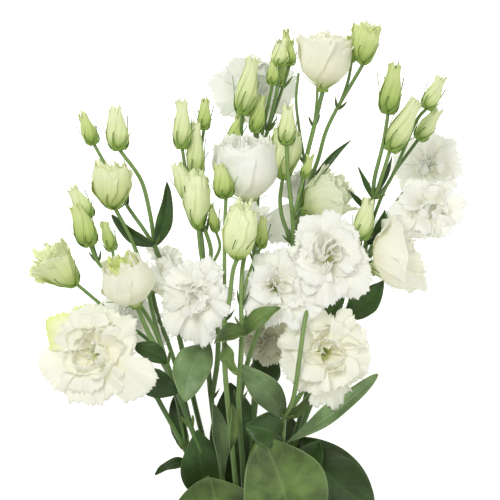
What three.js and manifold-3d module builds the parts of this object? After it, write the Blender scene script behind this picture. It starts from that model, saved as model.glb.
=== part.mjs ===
// A bunch of white lisianthus, lying on its back on a table, tied low on its ten stems with a rubber
// band. Every stem has its stalks, buds, sepals and leaves; every open bloom is a piece of its own.
// +X runs across the bunch, +Y from the cut ends to the flowers and +Z up from the table.
import * as THREE from "three";
import { mergeVertices } from "three/addons/utils/BufferGeometryUtils.js";
import Module from "manifold-3d";

const wasm = await Module();
wasm.setup();

// Driving dimensions, in mm
const GRIDS = [0.01, 0.02, 0.005, 0.04, 0.002]; // corners sit on one of these grids
const GAP = 0.3; // air between neighbouring pieces
const BLADE = 0.7; // thickness of petals and leaves
const STEM_RADIUS = 2.35;
const TIE_Y = -90; // where the rubber band sits
const TIE_X = -5;
const CUT_Y = -200; // the cut ends of the stems
const SPLAY = 1.35; // how far the stems spread again below the band
const BAND_THICK = 1.5;
const BAND_WIDE = 9;
const BAND_MIDDLE = 8.75; // height of the middle of the tied stems
const LONG_RUN = 100; // a longer straight run in a stalk has a ring in its middle
const THIN = 2; // a thinner stalk has four sides
const TUBE_SIDES = 5;
const HEART_WIDE = 0.22; // how much the heart of a bloom widens upwards, as a share of its radius
const HEART_HIGH = 0.6; // height of the heart as a share of the bloom's
const HEART_FOOT = 2.4; // radius of the heart at its foot
const LARGE = 25; // a bloom with a larger radius has petals round its heart
const INNER = 3; // how many
const INNER_REACH = 0.58; // their reach as a share of the bloom's radius
const INNER_SPREAD = 50; // half the angle that each covers
const LARGEST = 38; // a bloom with a larger radius has finer petals
const PETAL_ROOT = 1.5; // how far from the axis a petal starts
const RUFFLE = 2; // height of the slow wave along a petal's edge
const OUTER_CUP = 0.93; // radius of the outer cup of a half-open bloom, as a share of the bloom's
const INNER_CUP = 0.55; // and of the cup inside it
const MOUTH_FLOOR = 0.35; // height of the floor of a cup's mouth, as a share of the cup's
const SEPALS = 5; // raised keels round a bud
const UPRIGHT = 0.7; // a bloom with less flare than this is half open
const SUNK = 1.2; // the lowest a petal starts above the foot of its bloom
const ROOT = 2; // how far a bud sinks into its stalk
const KEELED = 17; // a narrower bud has three keels
const KEEL = 0.12; // height of a keel as a share of the bud's radius
const SMALL_LEAF = 9; // a narrower leaf is drawn more coarsely
const LOWEST = 0.02; // no piece goes below this

// Stem: its place in the tied bundle, then points from its first fork down towards the band
const STEMS = [
  ["stem_a", [-7.65, 8.75], [[-75, 82, 70], [-52, 38, 54], [-26, -20, 34]]],
  ["stem_b", [-2.55, 8.75], [[-66, 108, 82], [-47, 56, 64], [-18, -20, 36]]],
  ["stem_c", [-5.1, 4.25], [[-76, 203, 84], [-68, 178, 50], [-60, 140, 36], [-44, 70, 32],
    [-22, -20, 22]]],
  ["stem_d", [-5.1, 13.25], [[-36, 180, 88], [-35, 150, 80], [-34, 114, 76], [-31, 80, 72],
    [-19, -10, 48]]],
  ["stem_e", [0, 13.25], [[-20, 144, 124], [-20, 111, 116], [-14, 40, 88], [-9, -15, 58]]],
  ["stem_f", [2.55, 8.75], [[-6, 138, 122], [-7, 119, 117], [-9, 78, 98], [-6, 30, 72], [-4, -20, 44]]],
  ["stem_g", [0, 4.25], [[2, 222, 64], [4, 190, 50], [4, 150, 34], [4, 110, 30], [2, 50, 34],
    [-4, -20, 24]]],
  ["stem_h", [5.1, 4.25], [[34, 205, 88], [40, 180, 74], [46, 150, 64], [50, 110, 54], [42, 68, 44],
    [12, -20, 24]]],
  ["stem_i", [7.65, 8.75], [[98, 241, 88], [93, 205, 76], [84, 170, 66], [72, 130, 60], [51, 80, 52],
    [16, -20, 34]]],
  ["stem_j", [5.1, 13.25], [[27, 66, 90], [25, 40, 80], [8, -20, 48]]],
];

// Stalk: stem, radius at its foot and at its top, points from foot to top
const STALKS = [
  ["stem_a", 2.3, 2, [[-75, 82, 70], [-94, 101, 76], [-117, 117, 83]]],
  ["stem_a", 1.75, 1.45, [[-52, 38, 54], [-62, 92, 66], [-78, 124, 76], [-106, 146, 88],
    [-138, 173, 94]]],
  ["stem_b", 2.2, 1.8, [[-66, 108, 82], [-80, 132, 90], [-90, 155, 98]]],
  ["stem_b", 1.8, 1.75, [[-47, 56, 64], [-58, 100, 62], [-66, 125, 58], [-74, 145, 54],
    [-80, 166, 56]]],
  ["stem_b", 1.8, 1.75, [[-47, 56, 64], [-62, 92, 56], [-80, 124, 46], [-96, 148, 38]]],
  ["stem_b", 1.75, 1.45, [[-66, 108, 82], [-78, 140, 84], [-98, 168, 84], [-121, 190, 90],
    [-127, 204, 94]]],
  ["stem_b", 1.35, 1.25, [[-98, 168, 84], [-108, 188, 80], [-110, 200, 80]]],
  ["stem_b", 1.35, 1.25, [[-121, 190, 90], [-126, 206, 84], [-128, 226, 82]]],
  ["stem_b", 1.75, 1.55, [[-66, 108, 82], [-75, 138, 78], [-82, 168, 78], [-89, 194, 86],
    [-96, 212, 96], [-107, 233, 102]]],
  ["stem_c", 1.75, 1.45, [[-76, 203, 84], [-80, 230, 88], [-87, 256, 90], [-101, 276, 92],
    [-104, 280, 92]]],
  ["stem_c", 1.65, 1.35, [[-76, 203, 84], [-86, 218, 82], [-98, 235, 80], [-110, 258, 80],
    [-125, 285, 80]]],
  ["stem_d", 1.8, 1.55, [[-36, 180, 88], [-31, 198, 96], [-35, 214, 100], [-46, 241, 102]]],
  ["stem_d", 1.55, 1.35, [[-35, 214, 100], [-43, 238, 94], [-50, 258, 92], [-54, 281, 92]]],
  ["stem_d", 1.75, 1.55, [[-36, 180, 88], [-39, 198, 96], [-41, 217, 104]]],
  ["stem_d", 1.55, 1.35, [[-36, 180, 88], [-38, 205, 82], [-42, 235, 80], [-43, 258, 82]]],
  ["stem_d", 1.35, 1.25, [[-42, 235, 80], [-42, 258, 74], [-37, 297, 72]]],
  ["stem_d", 1.35, 1.15, [[-36, 180, 88], [-24, 202, 98], [-27, 215, 102]]],
  ["stem_d", 2.2, 1.9, [[-31, 80, 72], [-26, 112, 84], [-26, 142, 92], [-31, 165, 98]]],
  ["stem_e", 1.8, 1.65, [[-20, 144, 124], [-17, 155, 127], [-13, 185, 132], [-10, 193, 133]]],
  ["stem_e", 1.65, 1.35, [[-20, 144, 124], [-20, 165, 119], [-20, 214, 117], [-19, 242, 112]]],
  ["stem_f", 1.8, 1.65, [[-6, 138, 122], [-7, 155, 124], [-6, 185, 120], [-3, 200, 104], [1, 214, 80]]],
  ["stem_f", 1.35, 1.15, [[-7, 155, 124], [-3, 174, 120], [6, 198, 110], [9, 202, 108]]],
  ["stem_f", 2.2, 1.9, [[-9, 78, 98], [-2, 110, 92], [8, 140, 94], [15, 167, 98]]],
  ["stem_g", 2, 1.8, [[2, 222, 64], [2, 235, 79]]],
  ["stem_g", 1.75, 1.45, [[2, 222, 64], [-4, 262, 56], [-7, 292, 64], [-6, 309, 72]]],
  ["stem_g", 1.35, 1.15, [[-4, 262, 56], [-11, 276, 60], [-14, 286, 62]]],
  ["stem_g", 1.65, 1.35, [[2, 222, 64], [4, 255, 52], [4, 280, 56], [4, 295, 64]]],
  ["stem_g", 1.55, 1.35, [[4, 255, 52], [8, 278, 50], [10, 294, 56], [18, 333, 72]]],
  ["stem_g", 1.55, 1.35, [[8, 278, 50], [14, 296, 50], [23, 333, 62]]],
  ["stem_g", 1.35, 1.25, [[14, 296, 50], [21, 325, 68], [24, 348, 74]]],
  ["stem_g", 1.35, 1.25, [[14, 296, 50], [26, 330, 60], [32, 349, 66]]],
  ["stem_g", 1.25, 1.15, [[26, 330, 60], [29, 346, 56], [30, 357, 56]]],
  ["stem_g", 1.8, 1.75, [[4, 190, 50], [6, 240, 34], [6, 290, 18], [4, 326, 12]]],
  ["stem_g", 1.8, 1.75, [[2, 50, 34], [8, 100, 38], [12, 128, 43]]],
  ["stem_h", 1.8, 1.55, [[34, 205, 88], [34, 223, 96], [30, 262, 102], [29, 284, 104]]],
  ["stem_h", 1.65, 1.45, [[34, 205, 88], [26, 225, 84], [24, 240, 84], [26, 257, 88]]],
  ["stem_h", 1.35, 1.15, [[34, 223, 96], [38, 240, 98], [43, 258, 99]]],
  ["stem_h", 1.9, 1.75, [[34, 205, 88], [40, 235, 80], [44, 268, 84], [51, 298, 88], [58, 325, 92]]],
  ["stem_h", 1.75, 1.45, [[40, 235, 80], [54, 271, 76], [62, 298, 82], [90, 348, 96]]],
  ["stem_h", 1.35, 1.15, [[70, 312, 86], [78, 334, 89], [81, 350, 90]]],
  ["stem_h", 1.15, 1.05, [[51, 298, 88], [54, 325, 70], [54, 366, 66]]],
  ["stem_h", 1.15, 1.05, [[44, 268, 84], [39, 300, 78], [37, 321, 74], [39, 342, 72]]],
  ["stem_h", 2, 1.8, [[34, 205, 88], [37, 218, 86], [42, 229, 85]]],
  ["stem_h", 1.7, 1.75, [[40, 180, 74], [38, 215, 52], [43, 242, 44]]],
  ["stem_i", 1.75, 1.45, [[98, 241, 88], [99, 256, 92], [106, 285, 94], [110, 309, 92]]],
  ["stem_i", 1.75, 1.55, [[98, 241, 88], [101, 247, 92], [106, 262, 98], [111, 279, 102]]],
  ["stem_i", 1.55, 1.35, [[98, 241, 88], [108, 250, 84], [116, 264, 82], [134, 305, 84],
    [141, 313, 86]]],
  ["stem_i", 1.55, 1.35, [[93, 205, 76], [99, 226, 78], [112, 256, 72], [135, 289, 76]]],
  ["stem_i", 1.55, 1.35, [[89, 188, 71], [88, 198, 86], [88, 209, 98]]],
  ["stem_i", 2.1, 1.9, [[84, 170, 66], [90, 176, 82], [96, 183, 94]]],
  ["stem_i", 1.9, 1.7, [[84, 170, 66], [100, 205, 44], [122, 242, 26], [142, 265, 20]]],
  ["stem_i", 1.8, 1.7, [[89, 188, 71], [108, 206, 60], [126, 222, 58], [139, 231, 63]]],
  ["stem_j", 2.2, 1.9, [[27, 66, 90], [40, 84, 82], [50, 104, 80], [57, 118, 83]]],
  ["stem_j", 2, 1.7, [[27, 66, 90], [34, 82, 112], [39, 115, 120], [44, 148, 116], [51, 172, 104],
    [57, 192, 98]]],
];

// Bud: stem, foot, tip, width
const BUDS = [
  ["stem_c", [-125, 285, 80], [-134, 307, 82], 13],
  ["stem_c", [-104, 280, 92], [-108, 312, 94], 19],
  ["stem_b", [-128, 226, 82], [-142, 248, 82], 15],
  ["stem_b", [-127, 204, 94], [-138, 234, 98], 19],
  ["stem_b", [-110, 200, 80], [-117, 221, 80], 11],
  ["stem_d", [-54, 281, 92], [-54, 317, 93], 15],
  ["stem_d", [-37, 297, 72], [-36, 320, 73], 11],
  ["stem_d", [-43, 258, 82], [-44, 300, 84], 15],
  ["stem_d", [-46, 241, 102], [-58, 267, 106], 18],
  ["stem_e", [-19, 242, 112], [-24, 266, 116], 17],
  ["stem_d", [-27, 215, 102], [-31, 235, 104], 8],
  ["stem_f", [9, 202, 108], [10, 225, 110], 10],
  ["stem_g", [-6, 309, 72], [2, 353, 76], 18],
  ["stem_g", [4, 295, 64], [9, 322, 66], 13],
  ["stem_g", [-14, 286, 62], [-8, 307, 62], 12],
  ["stem_g", [30, 357, 56], [29, 376, 57], 10],
  ["stem_g", [32, 349, 66], [32, 367, 67], 10],
  ["stem_g", [24, 348, 74], [24, 366, 76], 15],
  ["stem_g", [18, 333, 72], [19, 351, 74], 10],
  ["stem_g", [23, 333, 62], [27, 351, 60], 9],
  ["stem_h", [29, 284, 104], [30, 313, 106], 15],
  ["stem_h", [43, 258, 99], [48, 273, 100], 8],
  ["stem_h", [81, 350, 90], [80, 368, 91], 8],
  ["stem_i", [110, 309, 92], [115, 346, 95], 18],
  ["stem_i", [141, 313, 86], [152, 336, 88], 14],
  ["stem_i", [111, 279, 102], [131, 318, 106], 19],
  ["stem_i", [135, 289, 76], [150, 311, 78], 14],
  ["stem_i", [88, 209, 98], [94, 239, 102], 17],
];

// Half-open bloom that stays with its stem: stem, foot, middle of its mouth, radius, first petal's angle
const CUPS = [
  ["stem_b", [-107, 233, 102], [-111, 266, 106], 17, 20],
  ["stem_a", [-138, 173, 94], [-163, 196, 98], 15, 50],
  ["stem_d", [-41, 217, 104], [-44, 258, 107], 12, 0],
  ["stem_e", [-10, 193, 133], [-7, 232, 139], 15, 30],
  ["stem_h", [26, 257, 88], [30, 295, 88], 13, 10],
  ["stem_h", [90, 348, 96], [93, 377, 98], 12, 40],
];

// Bloom: name, foot, axis, radius, height, flare and droop, then the angle, reach and half width of
// each outer petal.
const BLOOMS = [
  ["bloom_01", [-117, 117.5, 85], [-0.3, 0.1, 0.95], 40, 24, 1.3, 8,
    [[0, 32, 32], [50, 38, 30], [95, 38, 28], [140, 46, 30], [190, 50, 32], [240, 42, 30],
    [285, 40, 28], [322, 54, 24]]],
  ["bloom_02", [-90, 156, 99.5], [-0.3, 0.82, 0.5], 21, 42, 0.4, 0,
    [[0, 21, 40], [72, 21, 40], [144, 21, 40], [216, 21, 40], [288, 21, 40]]],
  ["bloom_03", [-79, 168, 58], [0.6, 0.5, 0.5], 27, 29, 0.9, 5,
    [[0, 27, 38], [70, 28, 38], [142, 25, 38], [214, 25, 38], [288, 29, 38]]],
  ["bloom_04", [-97, 149, 40], [-0.1, -0.2, 0.95], 25, 18, 1.2, 6,
    [[20, 24, 38], [92, 22, 38], [164, 25, 38], [240, 24, 38], [312, 38, 30]]],
  ["bloom_05", [-31, 166, 100], [-0.45, -0.1, 0.85], 33, 24, 1.2, 8,
    [[20, 26, 32], [75, 30, 30], [130, 30, 30], [178, 34, 28], [210, 42, 24], [260, 42, 28],
    [312, 27, 32]]],
  ["bloom_06", [18, 169, 100], [0.1, 0.1, 0.98], 30, 22, 1.2, 6,
    [[0, 28, 32], [50, 30, 32], [100, 30, 30], [160, 24, 32], [215, 28, 32], [265, 32, 30],
    [325, 42, 30]]],
  ["bloom_07", [58, 193, 100], [0.1, 0.1, 0.98], 34, 24, 1.2, 8,
    [[10, 33, 30], [62, 36, 30], [112, 36, 30], [165, 31, 30], [220, 32, 30], [274, 38, 28],
    [321, 42, 28]]],
  ["bloom_08", [97, 184, 95], [0.88, 0.38, 0.14], 24, 37, 0.45, 0,
    [[0, 24, 40], [72, 25, 40], [144, 24, 40], [216, 25, 40], [288, 24, 40]]],
  ["bloom_09", [143, 266, 22], [0.15, 0.15, 0.97], 30, 20, 1.2, 6,
    [[15, 31, 34], [75, 29, 34], [135, 31, 34], [190, 31, 34], [250, 24, 34], [310, 28, 34]]],
  ["bloom_10", [140, 232, 65], [0.1, 0, 0.98], 27, 20, 1.1, 5,
    [[0, 30, 34], [60, 24, 34], [125, 26, 34], [185, 30, 34], [245, 24, 34], [300, 22, 34]]],
  ["bloom_11", [58, 119, 85], [0.1, 0, 0.98], 36, 23, 1.2, 8,
    [[0, 36, 30], [40, 38, 28], [90, 32, 30], [140, 36, 28], [185, 37, 30], [235, 34, 28],
    [278, 46, 22], [330, 38, 28]]],
  ["bloom_12", [12, 129, 45], [0, 0, 1], 22, 16, 1.2, 4,
    [[0, 22, 38], [72, 22, 38], [144, 22, 38], [216, 20, 38], [288, 22, 38]]],
  ["bloom_13", [43, 230, 85.5], [0.8, 0.55, 0.2], 18, 38, 0.45, 0,
    [[20, 20, 40], [92, 20, 40], [164, 19, 40], [236, 20, 40], [308, 20, 40]]],
  ["bloom_14", [44, 245, 46], [0, 0.15, 0.98], 20, 18, 1.2, 4,
    [[0, 18, 38], [72, 18, 38], [144, 18, 38], [236, 48, 20], [290, 18, 38]]],
  ["bloom_15", [0, 237, 81], [-0.1, 0.93, 0.32], 25, 50, 0.4, 0,
    [[0, 24, 40], [72, 25, 40], [144, 25, 40], [216, 26, 40], [288, 25, 40]]],
  ["bloom_16", [1, 216, 82], [0, 0.6, 0.8], 17, 16, 0.9, 2,
    [[0, 16, 40], [72, 17, 40], [144, 17, 40], [216, 15, 40], [288, 15, 40]]],
  ["bloom_17", [58, 327, 92.5], [0.07, 1, 0.13], 19, 41, 0.38, 0,
    [[268, 19, 40], [341, 20, 40], [53, 19, 40], [127, 19, 40], [199, 20, 40]]],
  ["bloom_18", [4, 328, 15], [0, 0.1, 0.99], 30, 20, 1.2, 6,
    [[10, 36, 34], [65, 30, 34], [120, 32, 34], [180, 37, 34], [235, 28, 34], [300, 30, 34]]],
];

// Leaf: stem, foot, tip, width, arch, roll, fold, edge wave, sideways bow, where along it is widest
const LEAVES = [
  ["stem_c", [-76, 203, 84], [-66, 254, 94], 14, 4, 20, 20, 0.6, 2, 0.4],
  ["stem_c", [-76, 203, 84], [-110, 228, 96], 12, 4, -20, 20, 0.6, -2, 0.45],
  ["stem_c", [-98, 235, 80], [-104, 264, 88], 5, 2, 0, 15, 0.3, 1, 0.4],
  ["stem_d", [-34, 126, 78], [-52, 80, 104], 31, 6, 10, 8, 1, 3, 0.5],
  ["stem_b", [-66, 110, 84], [-94, 124, 92], 16, 3, 10, 15, 0.8, 2, 0.5],
  ["stem_b", [-58, 86, 76], [-91, 107, 86], 24, 4, -10, 12, 1, -2, 0.5],
  ["stem_e", [-2, 134, 124], [-28, 127, 138], 18, 4, 30, 30, 0.8, 2, 0.45],
  ["stem_f", [-5, 134, 122], [24, 155, 132], 15, 4, -20, 18, 0.8, -2, 0.45],
  ["stem_e", [-20, 128, 120], [-9, 102, 134], 15, 5, 40, 20, 0.8, -3, 0.5],
  ["stem_j", [27, 67, 92], [-8, 109, 112], 24, 5, -10, 12, 1, 4, 0.5],
  ["stem_j", [26, 50, 86], [-4, 60, 98], 30, 5, 10, 16, 1, 2, 0.5],
  ["stem_j", [27, 67, 90], [54, 92, 104], 12, 3, 30, 20, 0.6, 2, 0.4],
  ["stem_g", [6, 90, 34], [21, 117, 46], 26, 3, 0, 10, 1, 0, 0.45],
  ["stem_j", [25, 44, 84], [102, 101, 92], 18, 5, -25, 25, 1, 6, 0.6],
  ["stem_i", [40, 48, 46], [101, -10, 40], 50, 6, 0, 6, 1.5, 6, 0.5],
  ["stem_i", [30, 8, 40], [56, 46, 62], 26, 4, 10, 12, 0.8, 0, 0.6],
  ["stem_j", [34, -46, 50], [10, 51, 96], 74, 8, 15, 8, 2, 4, 0.55],
  ["stem_b", [-14, -54, 24], [-32, 18, 74], 74, 7, -8, 6, 2, 0, 0.68],
  ["stem_a", [-34, 0, 42], [-42, 55, 62], 36, 4, 5, 10, 1, -2, 0.42],
  ["stem_g", [-4, -14, 24], [-16, 92, 32], 46, 3, 0, 8, 1, 0, 0.5],
  ["stem_h", [14, -10, 26], [34, 64, 30], 40, 3, 0, 8, 1, 2, 0.5],
  ["stem_a", [-50, 36, 53], [-60, 84, 50], 15, 3, -20, 12, 0.8, -2, 0.5],
  ["stem_a", [-48, 28, 51], [-77, 18, 50], 10, 5, 20, 25, 1, 2, 0.4],
  ["stem_d", [-22, 14, 56], [-30, 78, 84], 15, 4, 25, 20, 0.6, 1, 0.6],
  ["stem_e", [-16, 40, 90], [-14, 78, 106], 9, 3, 30, 25, 0.5, 0, 0.5],
  ["stem_d", [-36, 165, 84], [-42, 188, 92], 12, 2, 10, 15, 0.6, -2, 0.5],
  ["stem_i", [76, 146, 62], [107, 176, 76], 20, 4, 10, 12, 1, 3, 0.45],
  ["stem_h", [48, 140, 61], [76, 162, 66], 14, 3, 0, 10, 0.8, 2, 0.5],
  ["stem_i", [93, 205, 76], [107, 232, 92], 13, 4, 20, 25, 0.8, 3, 0.5],
  ["stem_i", [98, 241, 88], [86, 266, 96], 5, 2, 20, 20, 0.3, -1, 0.4],
  ["stem_i", [93, 232, 85], [78, 248, 92], 5, 2, 20, 20, 0.3, -1, 0.4],
  ["stem_i", [99, 244, 90], [113, 275, 96], 5, 2, 20, 20, 0.3, 1, 0.4],
  ["stem_h", [48, 248, 78], [81, 288, 84], 7, 4, 20, 20, 0.4, -5, 0.4],
  ["stem_h", [37, 222, 80], [57, 256, 66], 8, 3, 20, 20, 0.4, 2, 0.4],
];

// A repeatable draw between 0 and 1 for any number.
function draw(seed) {
  const x = Math.sin(seed * 12.9898 + 4.137) * 43758.5453;
  return x - Math.floor(x);
}

function vec(p) {
  return new THREE.Vector3(p[0], p[1], p[2]);
}

// A closed solid from a geometry whose corners have been placed.
function solidOf(geometry) {
  geometry.deleteAttribute("normal");
  geometry.deleteAttribute("uv");
  const merged = mergeVertices(geometry, 1e-4);
  const mesh = new wasm.Mesh({
    numProp: 3,
    vertProperties: new Float32Array(merged.attributes.position.array),
    triVerts: new Uint32Array(merged.index.array),
  });
  const made = new wasm.Manifold(mesh);
  if (made.volume() > 0) return made;
  for (let i = 0; i < mesh.triVerts.length; i += 3) {
    const second = mesh.triVerts[i + 1];
    mesh.triVerts[i + 1] = mesh.triVerts[i + 2];
    mesh.triVerts[i + 2] = second;
  }
  return new wasm.Manifold(mesh);
}

// Moves every corner of a geometry to where the formula puts it.
function place(geometry, formula) {
  const corners = geometry.attributes.position;
  const corner = new THREE.Vector3();
  for (let i = 0; i < corners.count; i++) {
    corner.fromBufferAttribute(corners, i);
    const put = formula(corner.x, corner.y, corner.z);
    corners.setXYZ(i, put.x, put.y, put.z);
  }
  return solidOf(geometry);
}

// A thin blade that follows surface(across, along), with across -1 to 1 and along 0 to 1.
function blade(surface, across, along, grow) {
  const sheet = new THREE.BoxGeometry(2, 1, 1, across, along, 1);
  const order = sheet.index.array;
  const backs = across * along * 6;
  for (let i = order.length - backs; i < order.length; i += 6) {
    const [a, b, d, , c] = order.slice(i, i + 5);
    order.set([a, b, c, a, c, d], i);
  }
  const half = BLADE / 2 + grow;
  const reach = 1 + grow / 10;
  return place(sheet, (x, y, z) => {
    const u = x * reach;
    const v = (y + 0.5) * reach;
    const here = surface(u, v);
    const right = surface(u + 0.02, v).sub(surface(u - 0.02, v));
    const ahead = surface(u, v + 0.01).sub(surface(u, v - 0.01));
    return here.addScaledVector(right.cross(ahead).normalize(), z * 2 * half);
  });
}

// A round stalk through the given points, thinning from one radius to the other. It has a ring of
// corners at every point and one more in the middle of a long run.
function tube(points, first, last, grow) {
  const curve = new THREE.CatmullRomCurve3(points.map(vec), false, "centripetal");
  const spans = points.length - 1;
  const rings = [0];
  for (let i = 1; i <= spans; i++) {
    const long = vec(points[i]).distanceTo(vec(points[i - 1])) > LONG_RUN;
    if (long) rings.push((i - 0.5) / spans);
    rings.push(i / spans);
  }
  const steps = rings.length - 1;
  const sides = first < THIN ? 4 : TUBE_SIDES;
  return place(new THREE.CylinderGeometry(1, 1, 1, sides, steps), (x, y, z) => {
    const t = rings[Math.round((0.5 - y) * steps)];
    const ahead = curve.getTangent(t);
    const normal = new THREE.Vector3(0, 0, 1).addScaledVector(ahead, -ahead.z).normalize();
    const radius = first + (last - first) * t + grow;
    return curve
      .getPoint(t)
      .addScaledVector(normal, x * radius)
      .addScaledVector(ahead.cross(normal), z * radius);
  });
}

// Two directions square to an axis; the first is the nearest to +X.
function squareTo(axis) {
  const first = new THREE.Vector3(1, 0, 0);
  if (Math.abs(axis.x) > 0.95) first.set(0, 1, 0);
  first.addScaledVector(axis, -first.dot(axis)).normalize();
  return [first, axis.clone().cross(first)];
}

// Half width of a bud at a share of its height: full low down, slender towards its tip.
function budOutline(v) {
  return 0.16 + 0.84 * Math.sin(Math.PI * Math.pow(v, 0.8)) ** 0.75 * (1 - 0.25 * v) - 0.1 * v;
}

// A closed bud: one spindle whose lower part is raised into the keels of its sepals.
function bud(foot, tip, width, grow) {
  const axis = vec(tip).sub(vec(foot));
  const length = axis.length();
  axis.normalize();
  const [side, up] = squareTo(axis);
  const keels = width > KEELED ? SEPALS : 3;
  return place(new THREE.SphereGeometry(1, 2 * keels, 4), (x, y, z) => {
    const v = Math.acos(THREE.MathUtils.clamp(-y, -1, 1)) / Math.PI;
    const flat = Math.hypot(x, z);
    const angle = Math.atan2(z, x);
    const keel = v < 0.7 ? 1 + KEEL * Math.cos(keels * angle) : 1;
    const r = flat < 1e-6 ? 0 : (keel * budOutline(v) * width) / 2 + grow;
    const turned = angle + v;
    return vec(foot)
      .addScaledVector(axis, v * (length + ROOT + 2 * grow) - ROOT - grow)
      .addScaledVector(side, r * Math.cos(turned))
      .addScaledVector(up, r * Math.sin(turned));
  });
}

// One petal of a bloom: a blade that rises from the foot, opens out and waves towards its edge.
function petal(flower, lobe, grow, across = 3, along = 2) {
  const [turn, reach, spread] = lobe;
  const { foot, axis, height, flare, droop, ruffle, root } = flower;
  const [side, up] = squareTo(axis);
  const phase = 6.28 * draw(turn + reach + foot.x);
  const profile = (s, t) => {
    const end = reach * (1 - 0.2 * t * t);
    const r = root + (end - root) * Math.pow(Math.max(s, 0), flare);
    const rise = Math.sin((Math.PI / 2) * Math.min(Math.max(s, 0), 1.1)) ** 0.8;
    const h = SUNK + (height - SUNK) * rise - droop * s ** 3;
    return [r, h];
  };
  const surface = (t, s) => {
    const at = Math.max(s, 0.001);
    const [r, h] = profile(at, t);
    const [r2, h2] = profile(at + 0.02, t);
    const run = Math.hypot(r2 - r, h2 - h) || 1;
    const lift = 3 * t * at + ruffle * at * at * Math.sin(5.2 * t + phase);
    const angle = THREE.MathUtils.degToRad(turn + t * spread * (0.15 + 0.85 * Math.min(1, at / 0.6)));
    const out = side.clone().multiplyScalar(Math.cos(angle)).addScaledVector(up, Math.sin(angle));
    return foot
      .clone()
      .addScaledVector(out, r - (lift * (h2 - h)) / run)
      .addScaledVector(axis, h + (lift * (r2 - r)) / run);
  };
  return blade(surface, across, along, grow);
}

// The solid heart of a bloom, with one flat side for the root of each outer petal.
function heart(flower, lobes, grow) {
  const { foot, axis, height, radius, flare } = flower;
  const [side, up] = squareTo(axis);
  const sides = lobes.length;
  const corners = lobes.map(([turn], i) => {
    const round = i + 1 < sides ? 0 : 360;
    return (turn + lobes[(i + 1) % sides][0] + round) / 2;
  });
  return place(new THREE.CylinderGeometry(1, 1, 1, sides, 1), (x, y, z) => {
    const v = y + 0.5;
    const middle = Math.hypot(x, z) < 1e-6;
    const r = middle ? 0 : HEART_FOOT + ((HEART_WIDE * radius) / (flare + 0.15)) * v + grow;
    const i = Math.round((Math.atan2(x, z) * sides) / (2 * Math.PI) + sides) % sides;
    const angle = THREE.MathUtils.degToRad(corners[i]);
    return foot
      .clone()
      .addScaledVector(axis, v * height * HEART_HIGH + (v - 0.5) * 2 * grow)
      .addScaledVector(side, r * Math.cos(angle))
      .addScaledVector(up, r * Math.sin(angle));
  });
}

// A bloom that is only half open: one ring of petals that stand up, and another inside it.
function goblet(row, grow) {
  const [, foot, axis, radius, height, , , lobes] = row;
  const start = vec(foot);
  const ahead = vec(axis).normalize();
  const at = (h) => start.clone().addScaledVector(ahead, h).toArray();
  const outer = cup(["", foot, at(height), radius * OUTER_CUP, lobes[0][0]], grow);
  const inner = ["", at(height * 0.2), at(height * 1.04), radius * INNER_CUP, lobes[0][0] + 40];
  return outer.add(cup(inner, grow));
}

function bloom(row, grow) {
  const [, foot, axis, radius, height, flare, droop, lobes] = row;
  if (flare < UPRIGHT) return goblet(row, grow);
  const flower = {
    foot: vec(foot),
    axis: vec(axis).normalize(),
    radius,
    height,
    flare,
    droop,
    ruffle: RUFFLE,
    root: PETAL_ROOT,
  };
  let whole = heart(flower, lobes, grow);
  const across = radius > LARGEST ? 3 : 2;
  for (const lobe of lobes) whole = whole.add(petal(flower, lobe, grow, across));
  const inner = {
    ...flower,
    foot: flower.foot.clone().addScaledVector(flower.axis, height * HEART_HIGH - 1.5),
    height: height * (1.1 - HEART_HIGH) + 1.5,
    droop: 0,
    root: 1.2 + 0.5 * HEART_WIDE * radius,
  };
  const inners = radius > LARGE ? INNER : 0;
  for (let k = 0; k < inners; k++) {
    const lobe = [36 + (360 * k) / INNER, radius * INNER_REACH, INNER_SPREAD];
    whole = whole.add(petal(inner, lobe, grow, 2, 1));
  }
  return whole;
}

// A half-open bloom on its own stem: a lobed goblet with a hollow mouth and a wavy rim.
function cup(row, grow) {
  const [, foot, mouth, radius, turn] = row;
  const axis = vec(mouth).sub(vec(foot));
  const height = axis.length();
  axis.normalize();
  const [side, up] = squareTo(axis);
  return place(new THREE.CylinderGeometry(1, 1, 1, 2 * SEPALS, 3), (x, y, z) => {
    const v = y + 0.5;
    const flat = Math.hypot(x, z);
    const angle = Math.atan2(z, x);
    const lobes = Math.cos(SEPALS * angle);
    const wide = 0.14 + 0.86 * Math.sin(1.6 * v) ** 0.6;
    const r = flat < 1e-6 ? 0 : radius * wide * (1 + 0.1 * v * lobes) + grow;
    const rim = v * height * (1 + 0.08 * lobes * v) + (v - 0.5) * 2 * grow;
    const h = flat < 1e-6 && v > 0.5 ? height * MOUTH_FLOOR : rim;
    const turned = angle + v + THREE.MathUtils.degToRad(turn);
    return vec(foot)
      .addScaledVector(axis, h)
      .addScaledVector(side, r * Math.cos(turned))
      .addScaledVector(up, r * Math.sin(turned));
  });
}

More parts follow.
